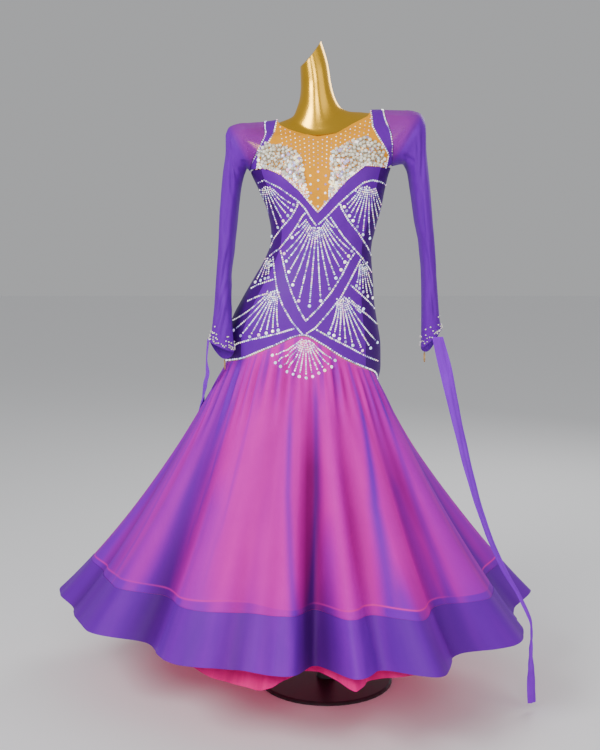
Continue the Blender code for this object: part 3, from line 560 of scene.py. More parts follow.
def finished(thing, material, *nodes, slot):
    thing.data.materials.clear()
    thing.data.materials.append(material)
    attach(thing, "root")
    if nodes:
        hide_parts(*nodes)
    return thing


# Shader groups
def new_group(name, inputs, outputs):
    group = bpy.data.node_groups.new(name, "ShaderNodeTree")
    for label, kind, value in inputs:
        socket = group.interface.new_socket(label, in_out="INPUT", socket_type=kind)
        socket.default_value = value
    for label, kind in outputs:
        group.interface.new_socket(label, in_out="OUTPUT", socket_type=kind)
    return group, group.nodes.new("NodeGroupInput"), group.nodes.new("NodeGroupOutput")


def join(tree, pairs):
    for a, b in pairs:
        tree.links.new(a, b)


def feed(tree, pairs):
    """Links or sets each input: pairs of a socket and what goes into it."""
    for socket, value in pairs:
        if isinstance(value, bpy.types.NodeSocket):
            tree.links.new(value, socket)
        else:
            socket.default_value = value


def math_node(tree, operation, *values, clamp=False):
    node = tree.nodes.new("ShaderNodeMath")
    node.operation, node.use_clamp = operation, clamp
    feed(tree, zip(node.inputs, values))
    return node.outputs[0]


def mix_node(tree, factor, a, b, way="MIX"):
    node = tree.nodes.new("ShaderNodeMix")
    node.data_type, node.blend_type = "RGBA", way
    feed(tree, ((node.inputs["Factor"], factor), (node.inputs[6], a), (node.inputs[7], b)))
    return node.outputs[2]


def attribute(tree, name):
    reader = tree.nodes.new("ShaderNodeAttribute")
    reader.attribute_name = name
    return reader.outputs["Fac"]


def new_material(name, shown, inputs):
    """A material with inputs of its shader set, with its tree and shader. shown is its viewport colour."""
    made = bpy.data.materials.new(name)
    made.use_nodes = True
    made.diffuse_color = shown
    shader = made.node_tree.nodes["Principled BSDF"]
    for label, value in inputs.items():
        shader.inputs[label].default_value = value
    return made, made.node_tree, shader


def bumped(tree, height, strength, distance):
    raised = tree.nodes.new("ShaderNodeBump")
    feed(tree, ((raised.inputs["Strength"], strength), (raised.inputs["Distance"], distance),
                (raised.inputs["Height"], height)))
    return raised.outputs[0]


def shaded(colour, share):
    return tuple(min(1, c * share) for c in colour[:3]) + (1.0,)


def weave_group():
    """Warp and weft in UV metres, with slow unevenness in the cloth. Gives a height and a mottle."""
    found = bpy.data.node_groups.get("weave")
    if found:
        return found
    group, given, result = new_group(
        "weave",
        [("Threads", "NodeSocketFloat", 900.0), ("Streak", "NodeSocketFloat", 9.0),
         ("Mottle", "NodeSocketFloat", 14.0)],
        [("Height", "NodeSocketFloat"), ("Mottle", "NodeSocketFloat")],
    )
    place = group.nodes.new("ShaderNodeUVMap")
    place.uv_map = "UVMap"
    split = group.nodes.new("ShaderNodeSeparateXYZ")
    group.links.new(place.outputs[0], split.inputs[0])
    warp = math_node(group, "SINE", math_node(group, "MULTIPLY", split.outputs[0], given.outputs["Threads"]))
    weft = math_node(group, "SINE", math_node(group, "MULTIPLY", split.outputs[1], given.outputs["Threads"]))
    height = math_node(group, "MULTIPLY", warp, weft)
    stretch = group.nodes.new("ShaderNodeMapping")
    stretch.inputs["Scale"].default_value = (1.0, 0.12, 1.0)
    streaks = group.nodes.new("ShaderNodeTexNoise")
    streaks.inputs["Detail"].default_value = 4
    mottle = group.nodes.new("ShaderNodeTexNoise")
    mottle.inputs["Detail"].default_value = 3
    join(group, [
        (place.outputs[0], stretch.inputs[0]), (stretch.outputs[0], streaks.inputs["Vector"]),
        (given.outputs["Streak"], streaks.inputs["Scale"]), (place.outputs[0], mottle.inputs["Vector"]),
        (given.outputs["Mottle"], mottle.inputs["Scale"]),
    ])
    both = math_node(group, "ADD", math_node(group, "MULTIPLY", streaks.outputs["Fac"], 0.6),
                     math_node(group, "MULTIPLY", mottle.outputs["Fac"], 0.4))
    join(group, [(height, result.inputs["Height"]), (both, result.inputs["Mottle"])])
    return group


def fabric(name, light, dark, rough, sheen, threads=2600.0, streak=30.0, alpha=None, density=None, deep=None,
           bump=0.15, contrast=1.0, painted_glow=0.0, gloss=0.12, fold_shade=0.0, rim=None):
    """A woven finish. density names an attribute that leads from light to deep, and alpha is (thin, thick)
    along it. A painted shade attribute, for the depths between folds, darkens the cloth by the share given.
    rim is the colour of a hem that shows through, where the attribute of that name says. The emission
    strength is painted light that brightens the cloth."""
    found = bpy.data.materials.get(name)
    if found:
        return found
    made, tree, shader = new_material(name, light, {
        "Roughness": rough, "Sheen Weight": sheen, "Sheen Roughness": 0.4, "Sheen Tint": light,
        "Specular IOR Level": gloss,
    })
    weave = tree.nodes.new("ShaderNodeGroup")
    weave.node_tree = weave_group()
    weave.inputs["Threads"].default_value = threads
    weave.inputs["Streak"].default_value = streak
    spread = math_node(tree, "MULTIPLY_ADD", weave.outputs["Mottle"], 2.4 * contrast, 0.5 - 1.2 * contrast,
                       clamp=True)
    colour = mix_node(tree, spread, dark, light)
    if density:
        thickness = attribute(tree, density)
        colour = mix_node(tree, thickness, colour, deep)
    # Painted shade: the colour is multiplied darker where the attribute marks the depths between folds.
    if fold_shade:
        left = 1 - fold_shade
        colour = mix_node(tree, attribute(tree, "fold_shade"), colour, (left + 0.04, left, left, 1.0), "MULTIPLY")
    if rim:
        colour = mix_node(tree, attribute(tree, "rim"), colour, rim)
    if alpha:
        thin, thick = alpha
        through = thin
        if density:
            through = math_node(tree, "MULTIPLY_ADD", thickness, thick - thin, thin, clamp=True)
        feed(tree, [(shader.inputs["Alpha"], through)])
    feed(tree, [(shader.inputs["Base Color"], colour)])
    # Painted light: the cloth's own colour is also emitted, brightening it though it is no lamp.
    if painted_glow:
        feed(tree, ((shader.inputs["Emission Color"], colour), (shader.inputs["Emission Strength"], painted_glow)))
    feed(tree, [(shader.inputs["Normal"], bumped(tree, weave.outputs["Height"], bump, 0.0006))])
    return made


def sparkle(name, base, tints, rough, metal=0.0, coat=0.5, painted_glow=0.0):
    """Cut stones and beads, each with a tint from a random attribute; a cut stone's tints are painted glints.
    The emission strength is painted light.
    """
    found = bpy.data.materials.get(name)
    if found:
        return found
    inputs = {"Roughness": rough, "Metallic": metal, "Coat Weight": coat}
    made, tree, shader = new_material(name, base, inputs)
    ramp = tree.nodes.new("ShaderNodeValToRGB")
    ramp.color_ramp.interpolation = "CONSTANT"
    steps = [base, *tints]
    for i, colour in enumerate(steps):
        place = i / len(steps)
        element = ramp.color_ramp.elements[i] if i < 2 else ramp.color_ramp.elements.new(place)
        element.position, element.color = place, colour
    join(tree, [(attribute(tree, "chance"), ramp.inputs[0]), (ramp.outputs[0], shader.inputs["Base Color"])])
    # Painted light: the tint is also emitted, though no stone or bead is a lamp.
    if painted_glow:
        feed(tree, ((shader.inputs["Emission Color"], ramp.outputs[0]),
                    (shader.inputs["Emission Strength"], painted_glow)))
    return made


def lacquer(name, light, dark, rough, metal, grain, bump=0.05):
    """A sprayed or rubbed hard finish, read in object coordinates."""
    found = bpy.data.materials.get(name)
    if found:
        return found
    made, tree, shader = new_material(name, light, {"Metallic": metal})
    place = tree.nodes.new("ShaderNodeTexCoord")
    noise = tree.nodes.new("ShaderNodeTexNoise")
    feed(tree, ((noise.inputs["Scale"], grain), (noise.inputs["Detail"], 5),
                (noise.inputs["Vector"], place.outputs["Object"])))
    value = noise.outputs["Fac"]
    feed(tree, (
        (shader.inputs["Normal"], bumped(tree, value, bump, 0.0008)),
        (shader.inputs["Base Color"], mix_node(tree, value, dark, light)),
        (shader.inputs["Roughness"], math_node(tree, "MULTIPLY_ADD", value, 0.16, rough - 0.08)),
    ))
    return made


def satin_finish(name, light, dark):
    """Satin, in shares of the bodice's colour."""
    colour = bpy.context.scene.dress_fabrics.satin
    return fabric(name, shaded(colour, light), shaded(colour, dark), rough=0.45, sheen=0.15, threads=5200.0,
                  bump=0.1, contrast=0.7, gloss=0.2)


# Geometry Nodes
def stone_mesh(kind):
    """A small cut stone or a bead, one unit across, sitting on z = 0."""
    name = f"{kind}_shape"
    found = bpy.data.meshes.get(name)
    if found:
        return found
    work = bmesh.new()
    if kind == "stone":
        rings, sides = ((0.5, 0.0), (0.5, 0.12), (0.28, 0.34)), 8
    else:
        rings, sides = ((0.36, 0.02), (0.5, 0.34), (0.42, 0.62), (0.2, 0.82)), 8
    rows = [[work.verts.new((r * math.cos(2 * math.pi * i / sides), r * math.sin(2 * math.pi * i / sides), z))
             for i in range(sides)] for r, z in rings]
    for low, high in zip(rows, rows[1:]):
        for i in range(sides):
            j = (i + 1) % sides
            work.faces.new((low[i], low[j], high[j], high[i]))
    work.faces.new(rows[-1])
    work.faces.new(rows[0][::-1])
    mesh = bpy.data.meshes.new(name)
    work.to_mesh(mesh)
    work.free()
    if kind != "stone":
        mesh.shade_smooth()
    return mesh


def setting_tree():
    """Sets a shape on each point, turned to the point's own outward direction and scaled by its size."""
    found = bpy.data.node_groups.get("set_stones")
    if found:
        return found
    tree = bpy.data.node_groups.new("set_stones", "GeometryNodeTree")
    for label, way, kind in (("Geometry", "INPUT", "Geometry"), ("Shape", "INPUT", "Object"),
                             ("Seed", "INPUT", "Int"), ("Finish", "INPUT", "Material"),
                             ("Geometry", "OUTPUT", "Geometry")):
        tree.interface.new_socket(label, in_out=way, socket_type=f"NodeSocket{kind}")
    make = tree.nodes.new
    given, result = make("NodeGroupInput"), make("NodeGroupOutput")
    shape = make("GeometryNodeObjectInfo")
    to_points = make("GeometryNodeMeshToPoints")
    away, size = make("GeometryNodeInputNamedAttribute"), make("GeometryNodeInputNamedAttribute")
    away.data_type, size.data_type = "FLOAT_VECTOR", "FLOAT"
    away.inputs["Name"].default_value, size.inputs["Name"].default_value = "away", "size"
    turned = make("FunctionNodeAlignRotationToVector")
    turned.axis = "Z"
    spin = make("FunctionNodeRandomValue")
    spin.data_type = "FLOAT_VECTOR"
    spin.inputs[0].default_value, spin.inputs[1].default_value = (-0.22, -0.22, 0), (0.22, 0.22, 6.283)
    rotate = make("FunctionNodeRotateRotation")
    rotate.rotation_space = "LOCAL"
    chance, store = make("FunctionNodeRandomValue"), make("GeometryNodeStoreNamedAttribute")
    store.data_type, store.domain = "FLOAT", "INSTANCE"
    store.inputs["Name"].default_value = "chance"
    copies, real = make("GeometryNodeInstanceOnPoints"), make("GeometryNodeRealizeInstances")
    paint = make("GeometryNodeSetMaterial")
    join(tree, [
        (given.outputs["Geometry"], to_points.inputs[0]), (to_points.outputs[0], copies.inputs["Points"]),
        (given.outputs["Shape"], shape.inputs["Object"]),
        (shape.outputs["Geometry"], copies.inputs["Instance"]),
        (away.outputs[0], turned.inputs["Vector"]), (turned.outputs[0], rotate.inputs[0]),
        (given.outputs["Seed"], spin.inputs["Seed"]), (spin.outputs[0], rotate.inputs[1]),
        (rotate.outputs[0], copies.inputs["Rotation"]), (size.outputs[0], copies.inputs["Scale"]),
        (given.outputs["Seed"], chance.inputs["Seed"]), (copies.outputs[0], store.inputs["Geometry"]),
        (chance.outputs[1], store.inputs["Value"]), (store.outputs[0], real.inputs[0]),
        (real.outputs[0], paint.inputs[0]), (given.outputs["Finish"], paint.inputs["Material"]),
        (paint.outputs[0], result.inputs[0]),
    ])
    return tree


def set_stones(name, kind, places, away, sizes, finish, seed, *nodes):
    """A finished piece of stones or beads on points in millimetres. nodes are the solids it replaces."""
    pattern = f"{kind}_pattern"
    shape = bpy.data.objects.get(pattern) or bpy.data.objects.new(pattern, stone_mesh(kind))
    mesh = bpy.data.meshes.new(f"{name}_points")
    mesh.from_pydata((np.asarray(places) * MM).tolist(), [], [])
    way = mesh.attributes.new("away", "FLOAT_VECTOR", "POINT")
    way.data.foreach_set("vector", np.asarray(away, np.float32).ravel())
    width = mesh.attributes.new("size", "FLOAT", "POINT")
    width.data.foreach_set("value", np.asarray(sizes, np.float32) * MM)
    source = placed(f"{name}_points", mesh)
    tree = setting_tree()
    modifier = source.modifiers.new("set", "NODES")
    modifier.node_group = tree
    ids = {item.name: item.identifier for item in tree.interface.items_tree if item.in_out == "INPUT"}
    for label, value in (("Shape", shape), ("Seed", seed), ("Finish", finish)):
        modifier[ids[label]] = value
    bpy.context.view_layer.update()
    view = bpy.context.evaluated_depsgraph_get()
    made = bpy.data.meshes.new_from_object(source.evaluated_get(view), depsgraph=view)
    made.name = name
    bpy.data.objects.remove(source)
    return finished(placed(name, made), finish, *nodes, slot="pearl")


# Where stones go
def spaced(line, pitch):
    line = np.array(line, float)
    length = np.linalg.norm(np.diff(line, axis=0), axis=1).sum()
    return resample(line, max(2, round(length / pitch) + 1))


def on_front(spots, out):
    spots = np.asarray(spots, float)
    places = front_skin(spots[:, 0], spots[:, 1], out)
    return places, unit(places - front_skin(spots[:, 0], spots[:, 1], out - 1))


def room(start, end, bounds):
    """The share of the way from start to end that stays clear of the bounding stones ahead."""
    shares = np.linspace(0, 1, ROOM_STEPS)
    near = [np.hypot(*(bounds - (start + (end - start) * s)).T).min() for s in shares]
    for n in range(ROOM_FROM, ROOM_STEPS):
        if near[n] < ROOM_CLEAR and near[n] < near[n - 1]:
            return shares[n - 1]
    return 1.0


def spray_spots(row, pitch, small, bounds):
    """A spray's stones: rays that part from a crowded heart and stop short of the bounding rows, each with a
    larger stone at its end."""
    x, z, rays, first, last, first_length, middle_length, last_length, heart, spread, rise = row
    rng = np.random.default_rng(int(abs(x) * 7 + z))
    ends, others = [], []
    for i in range(rays):
        u = i / (rays - 1)
        off = 2 * u - 1
        angle = math.radians(first + (last - first) * u)
        edge = first_length if u < 0.5 else last_length
        length = edge + (middle_length - edge) * (1 - abs(off) ** 1.6) + rng.uniform(-3, 3)
        start = np.array((x + spread * off, z + rise * abs(off) ** 1.5))
        end = np.array((x + math.sin(angle) * length, z - math.cos(angle) * length))
        if bounds is not None:
            end = start + (end - start) * room(start, end, bounds)
        reach = np.linalg.norm(end - start)
        way = (end - start) / reach
        aside = np.array((way[1], -way[0])) * off * 0.05 * reach
        count = max(3, round(reach / pitch))
        for n in range(count, 0, -1):
            spot = start + way * reach * n / count + aside * math.sin(math.pi * n / count)
            if n == count:
                ends.append((*spot, small * 2.1))
            else:
                others.append((*spot, small * rng.uniform(0.92, 1.1)))
    for _ in range(int(heart * 26)):
        r, a = heart * 1.15 * math.sqrt(rng.random()), math.radians(rng.uniform(first - 25, last + 25))
        drop = heart * 0.25 - 1.35 * r * math.cos(a)
        others.append((x + r * math.sin(a), z + drop, small * rng.uniform(0.9, 1.15)))
    return ends, others


def thinned(rows):
    """Drops each stone that would sit on an earlier one. x, z, width"""
    rows = np.array(rows, float)
    kept = np.zeros(len(rows), bool)
    for n, (x, z, width) in enumerate(rows):
        near = rows[:n][kept[:n]]
        kept[n] = not np.any(np.hypot(near[:, 0] - x, near[:, 1] - z) < STONE_TOUCH * (near[:, 2] + width))
    return rows[kept]


def colour_setting(name, description, *value):
    return bpy.props.FloatVectorProperty(name=name, description=description, subtype="COLOR", size=4,
                                         default=(*value, 1), min=0, max=1)


def size_setting(name, description, value, low=0.002, high=0.02):
    return bpy.props.FloatProperty(name=name, description=description, subtype="DISTANCE", unit="LENGTH",
                                   default=value, min=low, max=high)


class DressFabrics(bpy.types.PropertyGroup):
    """Colours of the cloth."""

    satin: colour_setting("Satin", "Bodice, straps and sides", 0.165, 0.004, 0.46)
    sheer: colour_setting("Sheer mesh", "Sleeves and floats", 0.20, 0.004, 0.56)
    nude: colour_setting("Nude mesh", "Yoke", 0.98, 0.41, 0.012)
    pink: colour_setting("Pink lining", "Layer under the chiffon", 0.80, 0.0, 0.53)
    overlay: colour_setting("Chiffon", "Purple layer over the skirt", 0.22, 0.0, 0.56)
    net: colour_setting("Net", "Petticoat", 0.98, 0.0, 0.25)


class DressSizes(bpy.types.PropertyGroup):
    """Sizes of the trim and fineness of the cloth."""

    stone: size_setting("Small stone", "Width of the smallest stones", 0.0036, 0.001, 0.01)
    stone_pitch: size_setting("Stone pitch", "From stone to stone along a row", 0.0049)
    pearl: size_setting("Pearl", "Width of the bust pearls", 0.0078)
    bead: size_setting("Edge bead", "Width of the beads along edges", 0.0042)
    wave: size_setting("Skirt ripple", "Height of the skirt's small folds", 0.0052, 0.0, 0.01)
    column_cuts: bpy.props.IntProperty(name="Columns a flute", description="Mesh columns in half a flute",
                                       default=15, min=3, max=20)


class FormMaker(bpy.types.Operator):
    """Makes the gold form's smooth skin and finishes the stand."""

    bl_idname = "dress.form"
    bl_label = "Form and stand"

    def execute(self, context):
        gold = lacquer("gold_foil", (1.0, 0.60, 0.06, 1), (0.95, 0.50, 0.035, 1), 0.24, 1.0, 9.0)
        angles = np.linspace(0, 360, 96, endpoint=False)[None, :]
        low = np.linspace(FORM_FOOT, SHOULDER_FROM, 70, endpoint=False)
        shoulders = np.linspace(SHOULDER_FROM, SHOULDER_TO, 34, endpoint=False)
        heights = np.concatenate((low, shoulders, np.linspace(SHOULDER_TO, FORM_TOP, 30)))[:, None]
        angle, height = np.broadcast_arrays(angles, heights)
        beyond = np.abs(body(angle, height)[..., 0] - BODY(height)[..., 0]) - STUB_FROM
        share = np.where(height > ARM_LOW, np.clip(beyond / STUB_EASE, 0, 1), 0)
        neck = NECK_INSET * np.clip(np.minimum(height - NECK_FROM + 12, NECK_TO + 8 - height) / 12, 0, 1)
        skin_points = skin(angle, height, -FORM_INSET - neck - STUB_INSET * share)
        skin_points[0, :, 2] = FORM_FOOT
        rows, cols = skin_points.shape[:2]
        caps = [skin_points[0].mean(axis=0), skin_points[-1].mean(axis=0)]
        faces = []
        for r in range(rows - 1):
            for c in range(cols):
                d = (c + 1) % cols
                faces.append((r * cols + c, r * cols + d, (r + 1) * cols + d, (r + 1) * cols + c))
        for c in range(cols):
            d = (c + 1) % cols
            faces.append((d, c, rows * cols))
            faces.append(((rows - 1) * cols + c, (rows - 1) * cols + d, rows * cols + 1))
        mesh = bpy.data.meshes.new("form_skin")
        mesh.from_pydata((np.concatenate((skin_points.reshape(-1, 3), caps)) * MM).tolist(), [], faces)
        mesh.shade_smooth()
        mesh.set_sharp_from_angle(angle=math.radians(48))
        finished(placed("form_skin", mesh), gold, "form_torso", slot="form")
        paint = lacquer("stand_paint", (0.06, 0.06, 0.065, 1), (0.035, 0.035, 0.04, 1), 0.34, 0.6, 60.0, 0.1)
        for node in ("stand_base", "stand_pole"):
            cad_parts[node].data.materials.clear()
            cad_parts[node].data.materials.append(paint)
        return {"FINISHED"}


def princess_line(angle, top, rows):
    heights = np.linspace(top - GAP, float(HIP(angle)[0]) + HIP_LIFT, rows + 1)
    return [tuple(p) for p in body(angle, heights)[:, [0, 2]]]


def trimmed(line, low, high):
    line = np.array(line, float)
    inside = [tuple(p) for p in line if low < p[0] < high]
    first, last = ((x, np.interp(x, line[:, 0], line[:, 1])) for x in (low, high))
    return [first, *inside, last]


def moved(line, dx, dz):
    return [(x + dx, z + dz) for x, z in line]


def front_panel(name, grid, creases, material, slot, node):
    x, z = grid[..., 0], grid[..., 1]
    height = front_height(x, z)
    angle = front_angle(x, height)
    inner, outer = skin(angle, height, CLEAR), skin(angle, height, CLEAR + WALL)
    outer = creased(outer, unit(outer - inner), creases)
    return finished(cloth(name, outer, inner, facing=(0, 400, 1150)), material, node, slot=slot)


class BodiceMaker(bpy.types.Operator):
    """Makes the yoke, the front, the sides, the back and the straps."""

    bl_idname = "dress.bodice"
    bl_label = "Bodice"

    def execute(self, context):
        colours = context.scene.dress_fabrics
        # The yoke's nude mesh emits a little light: painted light.
        nude = fabric("nude_mesh", tuple(colours.nude), shaded(colours.nude, 0.84), rough=0.55, sheen=0.1,
                      threads=4000.0, alpha=(0.9, 0.9), bump=0.25, painted_glow=0.12)
        # The side panels' satin is the bodice's colour at 0.42 and 0.3: painted shade, for sides that face
        # away from the light.
        satin, shaded_side_satin = satin_finish("bodice_satin", 1, 0.72), satin_finish("shaded_side_satin", 0.42, 0.3)
        top, foot = moved(NECKLINE, 0, 0), moved(YOKE_EDGE, 0, EDGE)
        right_side, left_side = moved(STRAP_IN_RIGHT, EDGE, 0), moved(STRAP_IN_LEFT, -EDGE, 0)
        top[0], top[-1] = right_side[0], left_side[0]
        foot[0] = right_side[-1] = (YOKE_EDGE[0][0] + EDGE, YOKE_EDGE[0][1] + EDGE)
        foot[-1] = left_side[-1] = (YOKE_EDGE[-1][0] - EDGE, YOKE_EDGE[-1][1] + EDGE)
        grid = coons(cut(top, 10), cut(foot, 10), right_side, left_side, 80, 48)
        yoke = front_panel("yoke", grid, YOKE_CREASES, nude, "mesh", "yoke_front")

        rows = 60
        ends = PRINCESS - 180 + SEAM, -PRINCESS - SEAM
        right_seam = princess_line(ends[0], SIDE_TOP_RIGHT, rows)
        left_seam = princess_line(ends[1], SIDE_TOP_LEFT, rows)
        upper = cut(trimmed(moved(YOKE_EDGE, 0, -EDGE), right_seam[0][0], left_seam[0][0]), 8)
        right_seam[0], left_seam[0] = upper[0], upper[-1]
        turns = np.linspace(*ends, 120)
        lower = [tuple(p) for p in body(turns, HIP(turns)[..., 0] + HIP_LIFT)[:, [0, 2]]]
        lower[0], lower[-1] = right_seam[-1], left_seam[-1]
        grid = coons(upper, lower, right_seam, left_seam, len(upper) - 1, rows)
        front = front_panel("bodice_panel", grid, BODICE_CREASES, satin, "satin", "bodice_front")

        for side, name, front_rows in ((-1, "right", SIDE_TOP_RIGHT_ROWS), (1, "left", SIDE_TOP_LEFT_ROWS)):
            top = curve(front_rows + BACK_TOP_ROWS)

            def turned(angle, side=side):
                return angle if side > 0 else 180 - angle

            # part, first angle, last angle, columns, finish, flat size
            parts = (
                ("side", turned(-PRINCESS + SEAM), turned(BACK_SEAM - SEAM), 28, shaded_side_satin, (0.165, 0.46)),
                ("back", turned(BACK_SEAM + SEAM), turned(90 - SEAM), 24, satin, (0.14, 0.48)),
            )
            for part, first, last, cols, finish, size in parts:
                angle = np.linspace(first, last, cols + 1)[None, :]
                share = np.linspace(1, 0, rows + 1)[:, None]
                foot = HIP(turn_back(angle))[..., 0] + HIP_LIFT
                crest = top(angle if side > 0 else 180 - angle)[..., 0] - GAP
                height = foot + (crest - foot) * share
                angle = np.broadcast_to(angle, height.shape)
                inner, outer = skin(angle, height, CLEAR), skin(angle, height, CLEAR + WALL)
                waist = bell(height, 1085, 45)
                pull = 0.55 * waist * np.sin((height + 0.35 * angle) / 3.6)
                pull = pull * np.sin(np.radians(angle) * 5 + height / 60) ** 2
                outer = outer - unit(outer - inner) * (0.3 * waist + pull * 0.8)[..., None]
                panel = cloth(f"{part}_panel_{name}", outer, inner, facing=(-20, 0, 1050))
                finished(panel, finish, f"bodice_{part}_{name}", slot="satin")
            self.strap(side, name, satin)
        return {"FINISHED"}

    def strap(self, side, name, satin):
        """One strap, from its foot in front over the shoulder to the back panel."""
        front_rows, back_rows, cols = 36, 24, 9
        edge = np.array((STRAP_IN_RIGHT if side < 0 else STRAP_IN_LEFT)[::-1], float)
        edge[:, 0] += side * STRAP_GAP
        near_front, far_front = resample(edge, front_rows + 1), arm_line(side, 1, STRAP_FOOT, front_rows)
        far_back = arm_line(side, -1, STRAP_BACK, back_rows)
        near_z = np.linspace(far_back[0, 1], edge[-1, 1], back_rows + 1)
        near_back = np.stack((np.full(back_rows + 1, edge[-1, 0]), near_z), axis=1)
        share = np.linspace(0, 1, cols)[None, :, None]
        grids = []
        for face, near, far in ((1, near_front[:-1], far_front[:-1]), (0, near_front[-1:], far_front[-1:]),
                                (-1, near_back[-2::-1], far_back[-2::-1])):
            far = far - np.array((side * STRAP_SIDE, 0))
            spot = near[:, None] + (far - near)[:, None] * share
            x, z = spot[..., 0], spot[..., 1]
            if face == 0:
                height, angle = ridge_height(x), np.full(x.shape, 180.0 if side < 0 else 0.0)
            else:
                height = front_height(x, z, face)
                angle = face * front_angle(x, height)
            grids.append(np.stack([skin(angle, height, CLEAR + out) for out in (WALL, 0)]))
        outer, inner = np.concatenate([g[0] for g in grids]), np.concatenate([g[1] for g in grids])
        band = cloth(f"strap_{name}_band", outer, inner, facing=(side * 130, 0, 1280))
        finished(band, satin, f"strap_{name}", slot="satin")


def arm_angle(height, side):
    share = (height - ARM_LOW) / (ARM_TOP - ARM_LOW)
    row = BODY(height)
    reach = np.minimum(ARM_LOW_X + (ARM_TOP_X - ARM_LOW_X) * share, row[..., 1] * 0.9995)
    return front_angle(row[..., 0] + side * reach, height)


def arm_side(side, face, count):
    """Half an armhole from the underarm to the shoulder in even steps, as sections and angles."""
    heights = (ARM_LOW + ARM_TOP) / 2 - (ARM_TOP - ARM_LOW) / 2 * np.cos(np.linspace(0, math.pi, 240))
    points = body(face * arm_angle(heights, side), heights)
    run = lengths(points)
    chosen = np.interp(np.linspace(0, run[-1], count + 1), run, heights)
    return chosen, face * arm_angle(chosen, side)


def arm_loop(side, out, sides):
    front, back = arm_side(side, 1, sides // 2), arm_side(side, -1, sides // 2)
    heights = np.concatenate((front[0], back[0][-2:0:-1]))
    angles = np.concatenate((front[1], back[1][-2:0:-1]))
    return skin(angles, heights, out) + np.array((side * GAP, 0, 0))


def arm_line(side, face, lowest, count):
    heights, angles = arm_side(side, face, 60)
    points = body(angles, heights)[:, [0, 2]][heights > lowest]
    return resample(points, count + 1)


def sleeve_rings(side, out, sides):
    rows = SLEEVE_RIGHT_ROWS if side < 0 else SLEEVE_LEFT_ROWS
    rings = [arm_loop(side, CLEAR + out, sides)]
    turn = 2 * math.pi * np.arange(sides) / sides
    c, s = np.cos(turn), np.sin(turn)
    k = (np.abs(c) ** SLEEVE_SQUARE + np.abs(s) ** SLEEVE_SQUARE) ** (-1 / SLEEVE_SQUARE)
    for number, (outer_x, outer_z, inner_x, inner_z, deep, centre_y) in enumerate(rows):
        centre = np.array(((outer_x + inner_x) / 2, centre_y, (outer_z + inner_z) / 2))
        across = np.array(((inner_x - outer_x) / 2, 0, (inner_z - outer_z) / 2))
        half = np.linalg.norm(across)
        ring = centre + across / half * ((half + out - WALL) * k * c)[:, None]
        ring[:, 1] -= (deep + out - WALL) * k * s
        if number == len(rows) - 1:
            ring[:, 2] -= CUFF_POINT * np.maximum(0, -s) ** 2
        rings.append(ring)
    return np.array(rings)


